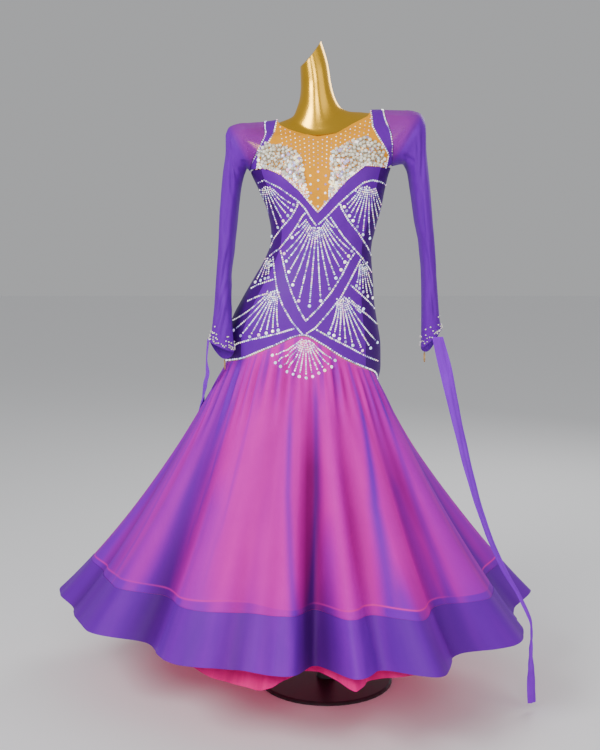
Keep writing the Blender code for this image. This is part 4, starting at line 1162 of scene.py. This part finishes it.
class SleeveMaker(bpy.types.Operator):
    """Makes the sheer sleeves, their finger loops and the floats from the wrists."""

    bl_idname = "dress.sleeves"
    bl_label = "Sleeves and floats"

    def execute(self, context):
        c = context.scene.dress_fabrics.sheer
        sheer = fabric("sheer_mesh", tuple(c), shaded(c, 0.7), rough=0.5, sheen=0.15, threads=4200.0,
                       streak=16.0, alpha=(0.93, 0.5), density="thin", deep=(0.40, 0.03, 0.55, 1), bump=0.12)
        sides, rows = 84, 150
        for side, name, creases, sheer_line in ((-1, "right", SLEEVE_RIGHT_CREASES, SHEER_RIGHT),
                                                (1, "left", SLEEVE_LEFT_CREASES, SHEER_LEFT)):
            outer = smooth_rows(sleeve_rings(side, WALL, sides), rows)
            normal = grid_normals(outer, True)
            middle = outer.mean(axis=1, keepdims=True)
            normal *= np.sign((normal * (outer - middle)).sum(axis=2, keepdims=True))
            along = np.linspace(0, 1, rows)[:, None]
            turn = np.linspace(0, 360, sides, endpoint=False)[None, :]
            ease = np.clip(np.minimum(along * 14, (1 - along) * 14), 0, 1)
            folded = creased(outer, normal * ease[..., None], creases)
            soft = 0.4 + ripple(turn, along * 9, 5 + side, ((2, 6, 1.0), (6, 12, 0.6)), 0.9)
            folded = folded - normal * (ease * soft)[..., None]
            inner = folded - normal * SLEEVE_WALL
            centre = tuple(outer.mean(axis=(0, 1)))
            arm = cloth(f"sleeve_{name}_mesh", folded, inner, loop=True, facing=centre)
            x1, z1, x2, z2 = sheer_line
            off = (folded[..., 0] - x1) * (z2 - z1) - (folded[..., 2] - z1) * (x2 - x1)
            off = off / math.hypot(x2 - x1, z2 - z1)
            tint(arm, "thin", np.clip(0.15 + side * off / 16, 0, 1) * np.clip(1.6 - along * 9, 0, 1))
            finished(arm, sheer, f"sleeve_{name}", slot="sheer")
            self.loop(side, name)
        self.floats(context)
        return {"FINISHED"}

    def loop(self, side, name):
        """A doubled elastic loop at the point of the cuff."""
        ring = sleeve_rings(side, WALL / 2, 18)[-1]
        tip = ring[ring[:, 2].argmin()]
        middle = tip - np.array((0, 0, LOOP_RADIUS + LOOP_CORD + GAP))
        gold = lacquer("gold_elastic", (0.80, 0.52, 0.16, 1), (0.55, 0.33, 0.09, 1), 0.45, 0.3, 900.0, 0.4)
        rounds, sides = 40, 8
        turn = np.linspace(0, 2 * math.pi, rounds, endpoint=False)
        roll = np.linspace(0, 2 * math.pi, sides, endpoint=False)
        points, faces = [], []
        for shift in (-0.62, 0.62):
            base = len(points)
            for t in turn:
                way = np.array((0, math.cos(t), math.sin(t)))
                for r in roll:
                    reach = LOOP_RADIUS + 0.6 * math.cos(r) + 0.15 * math.sin(9 * t)
                    points.append(middle + way * reach + np.array((shift + 0.58 * math.sin(r), 0, 0)))
            for i in range(rounds):
                here, ahead = base + i * sides, base + (i + 1) % rounds * sides
                for j in range(sides):
                    k = (j + 1) % sides
                    faces.append((here + j, here + k, ahead + k, ahead + j))
        mesh = bpy.data.meshes.new(f"loop_{name}")
        mesh.from_pydata((np.array(points) * MM).tolist(), [], faces)
        face_out(mesh)
        mesh.shade_smooth()
        finished(placed(f"loop_{name}", mesh), gold, f"finger_loop_{name}", slot="elastic")

    def floats(self, context):
        """The narrow floats, each with a fold down its middle and a slow twist."""
        c = context.scene.dress_fabrics.sheer
        chiffon = fabric("float_chiffon", shaded(c, 1.7), shaded(c, 1.1), rough=0.5, sheen=0.15,
                         threads=4200.0, streak=60.0, alpha=(0.93, 0.93), bump=0.12)
        laid = []
        for angle, share in FLOAT_LAID_ROWS:
            x, y, z = skirt(np.array(angle), np.array(share), FLOAT_LAID_OUT)
            turn = math.radians(angle)
            laid.append((x, y, z, math.sin(turn), -math.cos(turn), 13))
        for name, rows in (("left", FLOAT_LEFT_ROWS), ("right", list(FLOAT_RIGHT_ROWS) + laid)):
            table = np.array(rows, float)
            run = lengths(table[:, :3])
            count, cols = 130, 13
            at = np.linspace(0, run[-1], count)
            dense = curve(np.column_stack((run, table)))(at)
            across = unit(np.concatenate((dense[:, 3:5], np.zeros((count, 1))), axis=1))
            sign = np.where(across[:, 1] * dense[:, 0] < 0, 1, -1)[:, None]
            away = np.stack((-across[:, 1], across[:, 0], np.zeros(count)), axis=1) * sign
            u = np.linspace(-1, 1, cols)[None, :]
            t = (at / run[-1])[:, None]
            depth = 3.0 * (1 - u * u) + 0.9 * np.sin(u * 7 + t * 16) * np.clip(t * 12, 0, 1)
            depth = depth + 0.5 * np.sin(t * 60 + u * 3)
            depth += 0.7 * np.sin(t * 150 - u * 9) * bell(t, 0.86, 0.08)
            half = dense[:, 5:6] * (1 + 0.05 * np.sin(t * 23))
            grid = dense[:, None, :3] + across[:, None] * (half * u)[..., None]
            grid = grid + away[:, None] * depth[..., None]
            behind = dense[:, :3].mean(axis=0) - away.mean(axis=0) * 300
            front = grid + away[:, None] * FLOAT_WALL
            strip = cloth(f"float_{name}_strip", front, grid, facing=tuple(behind))
            finished(strip, chiffon, f"float_{name}", slot="sheer")


FLUTE_TURN = np.array(FLUTE_ROWS + ((FLUTE_ROWS[0][0] + 360, FLUTE_ROWS[0][1]),), float)


def hem_radius(angle):
    turns, sizes = FLUTE_TURN.T
    angle = (np.asarray(angle, float) - turns[0]) % 360 + turns[0]
    i = np.clip(np.searchsorted(turns, angle, side="right") - 1, 0, len(turns) - 2)
    share = (angle - turns[i]) / (turns[i + 1] - turns[i])
    return sizes[i] + (sizes[i + 1] - sizes[i]) * (1 - np.cos(math.pi * share)) / 2


def flat_skirt(angle, share, inset):
    angle, share = np.broadcast_arrays(np.asarray(angle, float), np.asarray(share, float))
    top = skin(angle, HIP(turn_back(angle))[..., 0] - GAP, CLEAR + WALL)
    way = np.stack((np.cos(np.radians(angle)), np.sin(np.radians(angle)), np.zeros(angle.shape)), axis=-1)
    depth = hem_radius(angle) - HEM_MEAN
    hem = np.array((HEM_X, HEM_Y, HEM_Z)) + way * HEM_MEAN
    flat = share * (1 - FLARE) + share**3 * FLARE
    point = top + (hem - top) * flat[..., None]
    point[..., 2] = top[..., 2] + (HEM_Z - top[..., 2]) * share
    point += way * (depth * np.maximum(share, 0) ** FLUTE_START - inset)[..., None]
    point[..., 2] += HEM_LIFT * depth * share**3
    return point


def skirt(angle, share, out=0.0, inset=0.0):
    """Points on the skirt's outer face or off it. share runs from the hip seam to the hem."""
    point = flat_skirt(angle, share, inset)
    along = flat_skirt(angle + 0.5, share, 0) - flat_skirt(angle - 0.5, share, 0)
    down = flat_skirt(angle, share + 0.01, 0) - flat_skirt(angle, np.maximum(share - 0.01, 0), 0)
    return point + np.asarray(out, float)[..., None] * unit(np.cross(down, along))


def small_folds(angle, share, size):
    """Folds finer than the flutes: pleats from the hip seam and soft ones that open towards the hem."""
    gathers = ripple(angle, share * 2, 3, ((46, 74, 1.0),), 1.0) * bell(share, 0.10, 0.13) * 1.3
    opens = ripple(angle, share * 3, 8, ((9, 20, 1.0), (20, 38, 0.7)), 1.0) * np.clip(share * 1.6, 0, 1)
    return size * (gathers + opens) * np.clip(share * 14, 0, 1)


def hem_waves(angle, share, size):
    """The stiffened hem's own small waves."""
    waves = ripple(angle, share * 0, 21, ((30, 60, 1.0), (60, 90, 0.5)), 1.0)
    return size * waves * np.clip((share - HEM_WAVES_FROM) / (1 - HEM_WAVES_FROM), 0, 1) ** 1.2


class SkirtMaker(bpy.types.Operator):
    """Makes the chiffon skirt, its doubled hem band, the pink layer and the petticoat."""

    bl_idname = "dress.skirt"
    bl_label = "Skirt"

    def execute(self, context):
        colours, sizes = context.scene.dress_fabrics, context.scene.dress_sizes
        turns, cuts = FLUTE_TURN[:, 0], sizes.column_cuts
        angles = [a + (b - a) * np.arange(cuts) / cuts for a, b in zip(turns, turns[1:])]
        angles = np.concatenate(angles)[None, :]
        ripple_size = sizes.wave / MM
        pink = fabric("pink_layer", tuple(colours.pink), shaded(colours.pink, 0.7), rough=0.6, sheen=0.1,
                      streak=24.0, bump=0.12, contrast=0.6)
        # The chiffon and the hem band are darkened by painted shade in the depths between folds, by the share
        # given.
        chiffon = fabric("skirt_chiffon_cloth", (0.95, 0.0, 0.62, 1), (0.78, 0.0, 0.54, 1), rough=0.55,
                         sheen=0.1, streak=26.0, alpha=(0.80, 0.97), density="fold", bump=0.1, gloss=0.08,
                         deep=tuple(colours.overlay), fold_shade=0.68, rim=(1.0, 0.03, 0.42, 1))
        violet = fabric("hem_violet", (0.30, 0.0, 0.64, 1), (0.21, 0.0, 0.53, 1), rough=0.5, sheen=0.15,
                        streak=40.0, alpha=(0.93, 0.98), density="fold", deep=(0.10, 0.0, 0.34, 1), bump=0.12,
                        gloss=0.15, fold_shade=0.6)
        # The petticoat net emits a little light: painted light, brightening a layer that hangs in shade.
        net = fabric("petticoat_net", tuple(colours.net), shaded(colours.net, 0.6), rough=0.7, sheen=0.15,
                     threads=1500.0, streak=60.0, alpha=(0.94, 0.94), bump=0.4, painted_glow=0.12)

        def layer(name, shares, out, inset=lambda s: 0.0, wall=0, petticoat=False):
            share, first = shares[:, None], shares[0]
            if petticoat:
                share = share + UNDER(turn_back(angles))[..., 0] * np.clip((share - 0.6) / 0.4, 0, 1) ** 2
            angle, share = np.broadcast_arrays(angles, share)
            fold = small_folds(angle, share, ripple_size) + hem_waves(angle, share, HEM_WAVES)
            away = out + fold
            ease = np.clip((share - first) / 0.3, 0, 1)
            if petticoat:
                away = away - 5 * ease - 5.5 * ease * (1 - ripple(angle, share, 31, ((40, 70, 1.0),), 1.0))
            outer = skirt(angle, share, away, inset(share))
            inner = skirt(angle, share, away - wall, inset(share)) if wall else None
            return cloth(name, outer, inner, loop=True, facing=(-60, 0, 500)), angle, share

        def lining_hem(angle):
            """Where the pink layer's own hem shows through, as a share of the skirt's length."""
            waves = ripple(angle, angle * 0, 57, ((2, 5, 1.0), (6, 11, 0.6)), 1.0)
            return LINING_HEM + LINING_WANDER * np.clip(waves, -1, 1)

        def density(angle, share):
            amount, start = np.moveaxis(curve(OVERLAY_ROWS)((angle + 188) % 360 - 188), -1, 0)
            streak = np.clip(ripple(angle, share * 2.5, 44, ((14, 30, 1.0), (30, 60, 0.6)), 1.3), -1, 1)
            amount = amount * np.clip((share - start) / 0.3, 0, 1)
            rng = np.random.default_rng(7)
            behind = [(a, a + rng.uniform(-4, 4), a + rng.uniform(-6, 6), rng.uniform(-0.2, 0.3),
                       rng.uniform(1.4, 3.0), rng.uniform(0.5, 0.9))
                      for a in np.arange(4, 176, 12) + rng.uniform(-4, 4, 15)]
            for top, middle, foot, start, half, strength in [*STREAKS, *behind]:
                off = turn_back(angle - np.interp(share, (0.05, 0.5, 0.95), (top, middle, foot)))
                fold = strength * bell(off, 0, half) * np.clip((share - start) / 0.15, 0, 1)
                amount = np.maximum(amount, fold)
            gather = np.clip(ripple(angle, share, 12, ((24, 52, 1.0), (52, 90, 0.5)), 2.4) - 0.15, 0, 1)
            gather = gather * bell(share, 0.05, 0.13)
            foot = 0.22 * np.clip((share - 0.64) / 0.2, 0, 1) ** 2
            foot = foot + 0.35 * np.clip((share - lining_hem(angle)) / 0.003, 0, 1)
            amount = amount + foot * (0.75 + 0.25 * streak)
            uneven = (0.08 + 0.10 * amount) * streak * np.clip(share * 6, 0, 1)
            return np.clip(amount + uneven + 0.7 * gather, 0, 1)

        # Painted shade: how far each point lies down a flute's valley, more near -86 degrees, and in the
        # troughs of the small folds.
        def fold_shade_amount(angle, share):
            around = (hem_radius(angle - 13) + hem_radius(angle + 13)) / 2
            deep = np.clip((around - hem_radius(angle)) / 62, 0, 1) * np.clip((share - 0.12) / 0.3, 0, 1)
            deep = deep * (0.5 + 0.5 * bell(turn_back(angle + 86), 0, 10))
            fine = np.clip(-small_folds(angle, share, 1.0), 0, 1) * 0.45
            return np.clip(deep + fine, 0, 1)

        def inner_inset(share):
            return LAYER_STEP + INNER_LOOSE * (share - 0.08)

        def under_inset(share):
            return inner_inset(share) + LAYER_STEP + UNDER_LOOSE * (share - 0.2)

        shares = np.linspace(0.0, BAND_FROM, 64)
        shares = np.concatenate((shares[shares < HEM_FROM], np.linspace(HEM_FROM, BAND_FROM, 30)))
        skirt_layer, angle, share = layer("skirt_chiffon", shares, -0.3)
        tint(skirt_layer, "fold", density(angle, share))
        # Painted shade in the depths between the folds.
        tint(skirt_layer, "fold_shade", fold_shade_amount(angle, share))
        seen = np.clip(0.4 + 0.8 * ripple(angle, angle * 0, 63, ((3, 9, 1.0),), 1.0), 0.05, 0.9)
        tint(skirt_layer, "rim", seen * bell(share, lining_hem(angle), LINING_WIDE))
        finished(skirt_layer, chiffon, "skirt_outer", slot="chiffon")

        shares = np.linspace(BAND_FROM + GAP / HEM_MEAN, 1.0, 20)
        band, angle, share = layer("hem_band_fold", shares, BAND_PROUD, wall=BAND_WALL)
        tint(band, "fold", density(angle, share) * 0.7)
        # Painted shade in the depths between the folds.
        tint(band, "fold_shade", fold_shade_amount(angle, share))
        finished(band, violet, "hem_band", slot="band")

        lining = layer("skirt_pink", np.linspace(0.012, 0.835, 60), -1.0, inner_inset)[0]
        finished(lining, pink, "skirt_inner", slot="pink")

        shares = np.linspace(0.2, 1.0, 60)
        under = layer("petticoat_net_layer", shares, -1.0, under_inset, petticoat=True)[0]
        finished(under, net, "petticoat", slot="net")
        return {"FINISHED"}


class StoneMaker(bpy.types.Operator):
    """Sets the stones, pearls and edge beads."""

    bl_idname = "dress.stones"
    bl_label = "Stones and pearls"

    def execute(self, context):
        sizes = context.scene.dress_sizes
        small, pitch = sizes.stone / MM, sizes.stone_pitch / MM
        # Painted glints: each cut stone takes one of these colours at random, reflections painted into its
        # colour, and it emits painted light.
        glints = ((0.24, 0.20, 0.42, 1), (1.0, 1.0, 1.0, 1), (0.90, 0.55, 0.75, 1), (0.45, 0.55, 0.62, 1),
                  (1.0, 0.92, 0.60, 1), (0.40, 0.34, 0.62, 1), (1.0, 1.0, 1.0, 1), (0.62, 0.80, 1.0, 1))
        cut_glass = sparkle("cut_stone", (1.0, 1.0, 1.0, 1), glints, rough=0.1, metal=0.3, painted_glow=1.3)
        shades = ((0.86, 0.82, 0.66, 1), (1.0, 0.98, 0.90, 1), (0.92, 0.88, 0.72, 1), (0.74, 0.70, 0.54, 1))
        # The pearls emit a little light: painted light.
        pearl = sparkle("pearl_glaze", (0.97, 0.93, 0.78, 1), shades, rough=0.15, coat=1.0, painted_glow=0.12)
        # The lower layer of small pearls takes darker copies of the pearl shades: painted shade under the
        # large pearls.
        shades = tuple(shaded(shade, 0.62) for shade in shades)
        bed = sparkle("shaded_pearl_bed", (0.56, 0.51, 0.38, 1), shades, rough=0.3, coat=0.5)
        seat = CLEAR + WALL + STONE_SEAT

        rows, others = [], []
        for line in STONE_LINES:
            rows += [(*spot, small * 1.14) for spot in spaced(line, pitch * 1.02)]
        bounds = np.array(rows)[:, :2]
        for row in SPRAYS:
            ends, more = spray_spots(row, pitch * 0.97, small, bounds)
            rows += ends
            others += more
        spots = thinned(rows + others)
        spots = spots[self.on_panel(spots)]
        places, away = on_front(spots, seat)
        set_stones("bodice_stones", "stone", places, away, spots[:, 2], cut_glass, 4)

        spots, widths = self.yoke_rows(small)
        places, away = on_front(spots, seat)
        set_stones("yoke_stones", "stone", places, away, widths, cut_glass, 6)

        self.bust(sizes, pearl, bed, cut_glass)
        self.edges(sizes, pearl, cut_glass)
        self.skirt_spray(small, pitch, cut_glass)
        return {"FINISHED"}

    @staticmethod
    def on_panel(spots):
        """Which spots lie on the front's cloth, clear of its edges."""
        x, z = spots[:, 0], spots[:, 1]
        height = front_height(x, z)
        angle = front_angle(x, height)
        line = np.array(YOKE_EDGE, float)
        below = z < np.interp(x, line[:, 0], line[:, 1]) - 3
        return below & (height > HIP(angle)[..., 0] + 5) & (angle < -12) & (angle > -168)

    @staticmethod
    def yoke_rows(small):
        """Small stones in rows that fan up from the yoke's point, larger and further apart in the point."""
        spots, widths = [], []
        top, edge = np.array(NECKLINE, float), np.array(YOKE_EDGE, float)
        for i in range(-15, 16):
            for n in range(28):
                z = YOKE_ROW_FOOT + n * YOKE_ROW_STEP + (YOKE_ROW_STEP / 2 if i % 2 else 0)
                x = -24 + i * 7.6 * (1 + (z - YOKE_ROW_FOOT) / 400)
                z += abs(i) ** 1.5 * 0.35
                point = z < YOKE_POINT_TOP
                if point and (i + 2 * (n % 2)) % 4:
                    continue
                if not -116 < x < 100 or z > np.interp(x, top[:, 0], top[:, 1]) - 4:
                    continue
                if z < np.interp(x, edge[:, 0], edge[:, 1]) + 6:
                    continue
                spots.append((x, z))
                widths.append(small * (1.45 if point else 0.78))
        return np.array(spots), np.array(widths)

    def bust(self, sizes, pearl, bed, cut_glass):
        """Pearls heaped over each cup: small ones, darker with painted shade, under large ones, and cut
        stones among them.
        """
        rng = np.random.default_rng(12)
        wide = sizes.pearl / MM
        for name, (upper, lower), inner_end in (("right", PEARLS_RIGHT, 1), ("left", PEARLS_LEFT, 0)):
            grid, strip = (coons(up, low, (up[0], low[0]), (up[-1], low[-1]), BUST_ACROSS, BUST_DOWN)
                           for up, low in ((upper, lower), UNDER_RIGHT if inner_end else UNDER_LEFT))
            rows = []
            # area, share of a pearl's width, lift, tries, how close they pack
            for area, share, lift, tries, pack in (
                (grid, 1.1, 2.3, 3500, 0.84), (grid, 0.66, 0.0, 5000, 0.74), (strip, 0.5, 0.0, 1500, 0.9),
            ):
                kept = np.zeros((0, 2))
                for _ in range(tries):
                    u, v = rng.random(2)
                    spot = area[int(v * BUST_DOWN), int(u * BUST_ACROSS)] + rng.uniform(-1.2, 1.2, 2)
                    if not len(kept) or np.hypot(*(kept - spot).T).min() > wide * share * pack:
                        kept = np.vstack((kept, spot))
                        far = max(0, (u if inner_end else 1 - u) - 0.5)
                        width, raised = wide * share * rng.uniform(0.84, 1.08), lift * rng.uniform(0.6, 1.2)
                        glass = share == 0.5 or rng.random() < 0.08 + 0.6 * far + 0.2 * (v > 0.85)
                        rows.append((*spot, width, raised, glass, share < 1))
            rows = np.array(rows)
            places, away = on_front(rows[:, :2], CLEAR + WALL + STONE_SEAT)
            places = places + away * rows[:, 3:4]
            kinds, low, widths = rows[:, 4] > 0, rows[:, 5] > 0, rows[:, 2]
            node = f"bust_beads_{name}"
            for part, kind, finish, seed, chosen, nodes in (
                ("pearls", "pearl", pearl, 3, ~kinds & ~low, (node,)),
                ("bed", "pearl", bed, 3, ~kinds & low, (node,)),
                ("stones", "stone", cut_glass, 5, kinds, ()),
            ):
                set_stones(f"bust_{part}_{name}", kind, places[chosen], away[chosen], widths[chosen],
                           finish, seed, *nodes)

    def edges(self, sizes, pearl, cut_glass):
        """Beads along the yoke, the straps, the hip seam, the back neckline and the cuffs."""
        wide = sizes.bead / MM
        seat = CLEAR + WALL + STONE_SEAT
        places, away = [], []

        def along(angles, heights, aside=0.0):
            points = skin(angles, heights, seat) - np.array((aside, 0, 0))
            places.append(points)
            away.append(unit(points - skin(angles, heights, 0)))

        for line, lift in ((YOKE_EDGE, 2.6), (STRAP_IN_RIGHT, 0), (STRAP_IN_LEFT, 0)):
            points, ways = on_front(spaced(moved(line, 0, lift), wide * 1.2), seat)
            places.append(points)
            away.append(ways)
        for side in (-1, 1):
            for face in (1, -1):
                heights, angles = arm_side(side, face, 38)
                keep = heights > (ARM_LOW + 4 if face > 0 else 1300)
                along(angles[keep], heights[keep], side * 2.6)
        angles = np.linspace(-180, 180, 224, endpoint=False)
        along(angles, HIP(angles)[..., 0] + 3.2)
        along(np.linspace(46, 134, 42), np.full(42, BACK_BEADS))
        places, away = np.concatenate(places), np.concatenate(away)
        set_stones("edge_stones", "stone", places, away, np.full(len(places), wide * 0.94), cut_glass, 9)

        rng = np.random.default_rng(2)
        places, away = [], []
        for side in (-1, 1):
            rings = smooth_rows(sleeve_rings(side, WALL, 54), 110)
            # ring of the sleeve, chance of a bead at each of its points
            for row, chance in ((108, 0.6), (107, 0.35), (105, 0.3), (102, 0.2), (98, 0.1)):
                ring = rings[row]
                middle = ring.mean(axis=0)
                for n, p in enumerate(ring):
                    if rng.random() < chance:
                        p = p + (rings[row - 1][n] - p) * rng.random()
                        out = unit(p - middle)
                        places.append(p + out * 0.2)
                        away.append(out)
        set_stones("cuff_beads", "pearl", places, away, wide * rng.uniform(0.7, 1.05, len(places)), pearl, 8)

    def skirt_spray(self, small, pitch, cut_glass):
        """The spray that hangs below the bodice's point, on the skirt."""
        ends, others = spray_spots(SKIRT_SPRAY, pitch, small, None)
        spots = thinned(ends + others)
        angle, share = np.full(len(spots), -90.0), np.full(len(spots), 0.05)
        for _ in range(8):
            here = skirt(angle, share)
            turn = (skirt(angle + 0.2, share) - here) / 0.2
            drop = (skirt(angle, share + 0.002) - here) / 0.002
            dx, dz = spots[:, 0] - here[:, 0], spots[:, 1] - here[:, 2]
            spread = turn[:, 0] * drop[:, 2] - drop[:, 0] * turn[:, 2]
            angle = angle + (dx * drop[:, 2] - drop[:, 0] * dz) / spread
            share = np.clip(share + (turn[:, 0] * dz - dx * turn[:, 2]) / spread, -0.02, 0.5)
        keep = share > 0.006
        angle, share = angle[keep], share[keep]
        places = skirt(angle, share, small_folds(angle, share, bpy.context.scene.dress_sizes.wave / MM))
        away = unit(skirt(angle, share, 1.0) - skirt(angle, share, 0.0))
        set_stones("skirt_stones", "stone", places, away, spots[keep, 2], cut_glass, 14)


FLOOR_HALF = 14.0  # metres


class StageMaker(bpy.types.Operator):
    """Makes the floor, the lights and the camera."""

    bl_idname = "dress.stage"
    bl_label = "Stage"

    def execute(self, context):
        scene = context.scene
        mesh = bpy.data.meshes.new("floor")
        size = FLOOR_HALF
        corners = [(x * size, y * size, 0) for x, y in ((-1, -1), (1, -1), (1, 1), (-1, 1))]
        mesh.from_pydata(corners, [], [(0, 1, 2, 3)])
        grey = (0.93, 0.93, 0.94, 1)
        mesh.materials.append(new_material("floor_paint", grey, {"Base Color": grey, "Roughness": 0.85})[0])
        placed("floor", mesh)
        world = bpy.data.worlds.new("studio")
        world.use_nodes = True
        world.node_tree.nodes["Background"].inputs["Color"].default_value = (0.92, 0.93, 0.95, 1)
        world.node_tree.nodes["Background"].inputs["Strength"].default_value = 0.46
        scene.world = world
        # name, energy, size, place, aim
        for name, energy, width, place, aim in (
            ("key", 84, 1.4, (-2.0, -2.3, 2.7), (0, 0, 0.9)),
            ("fill", 16, 2.2, (2.3, -2.0, 1.6), (0, 0, 0.8)),
            ("front", 22, 1.0, (0.1, -3.2, 1.9), (0, 0, 0.9)),
            ("rim", 36, 1.4, (1.6, 2.2, 2.4), (0, 0, 1.0)),
        ):
            data = bpy.data.lights.new(name, "AREA")
            data.energy, data.size = energy, width
            lamp = placed(name, data)
            lamp.location = place
            way = np.array(aim) - np.array(place)
            flat = math.hypot(way[0], way[1])
            lamp.rotation_euler = (math.atan2(flat, -way[2]), 0, math.atan2(-way[0], way[1]))
        data = bpy.data.cameras.new("camera")
        data.lens, data.sensor_width, data.sensor_fit = 56.016, 36, "AUTO"
        camera = placed("camera", data)
        camera.location = (-0.065, -2.8, 1.1535)
        camera.rotation_euler = (math.radians(82.2), 0, 0)
        scene.camera = camera
        return {"FINISHED"}


MAKERS = (FormMaker, BodiceMaker, SleeveMaker, SkirtMaker, StoneMaker, StageMaker)


class DressPanel(bpy.types.Panel):
    """Sizes, colours and the makers, in the sidebar."""

    bl_idname = "VIEW3D_PT_dress"
    bl_label = "Ballroom dress"
    bl_space_type = "VIEW_3D"
    bl_region_type = "UI"
    bl_category = "Dress"

    def draw(self, context):
        for group in (context.scene.dress_sizes, context.scene.dress_fabrics):
            for name in group.__annotations__:
                self.layout.prop(group, name)
        for maker in MAKERS:
            self.layout.operator(maker.bl_idname)


CLASSES = (DressFabrics, DressSizes, *MAKERS, DressPanel)


def register():
    for made in CLASSES:
        bpy.utils.register_class(made)
    bpy.types.Scene.dress_fabrics = bpy.props.PointerProperty(type=DressFabrics)
    bpy.types.Scene.dress_sizes = bpy.props.PointerProperty(type=DressSizes)


def unregister():
    del bpy.types.Scene.dress_sizes
    del bpy.types.Scene.dress_fabrics
    for made in reversed(CLASSES):
        bpy.utils.unregister_class(made)


def main():
    register()
    bpy.ops.dress.form()
    bpy.ops.dress.bodice()
    bpy.ops.dress.sleeves()
    bpy.ops.dress.skirt()
    bpy.ops.dress.stones()
    bpy.ops.dress.stage()


if __name__ == "__main__":
    main()
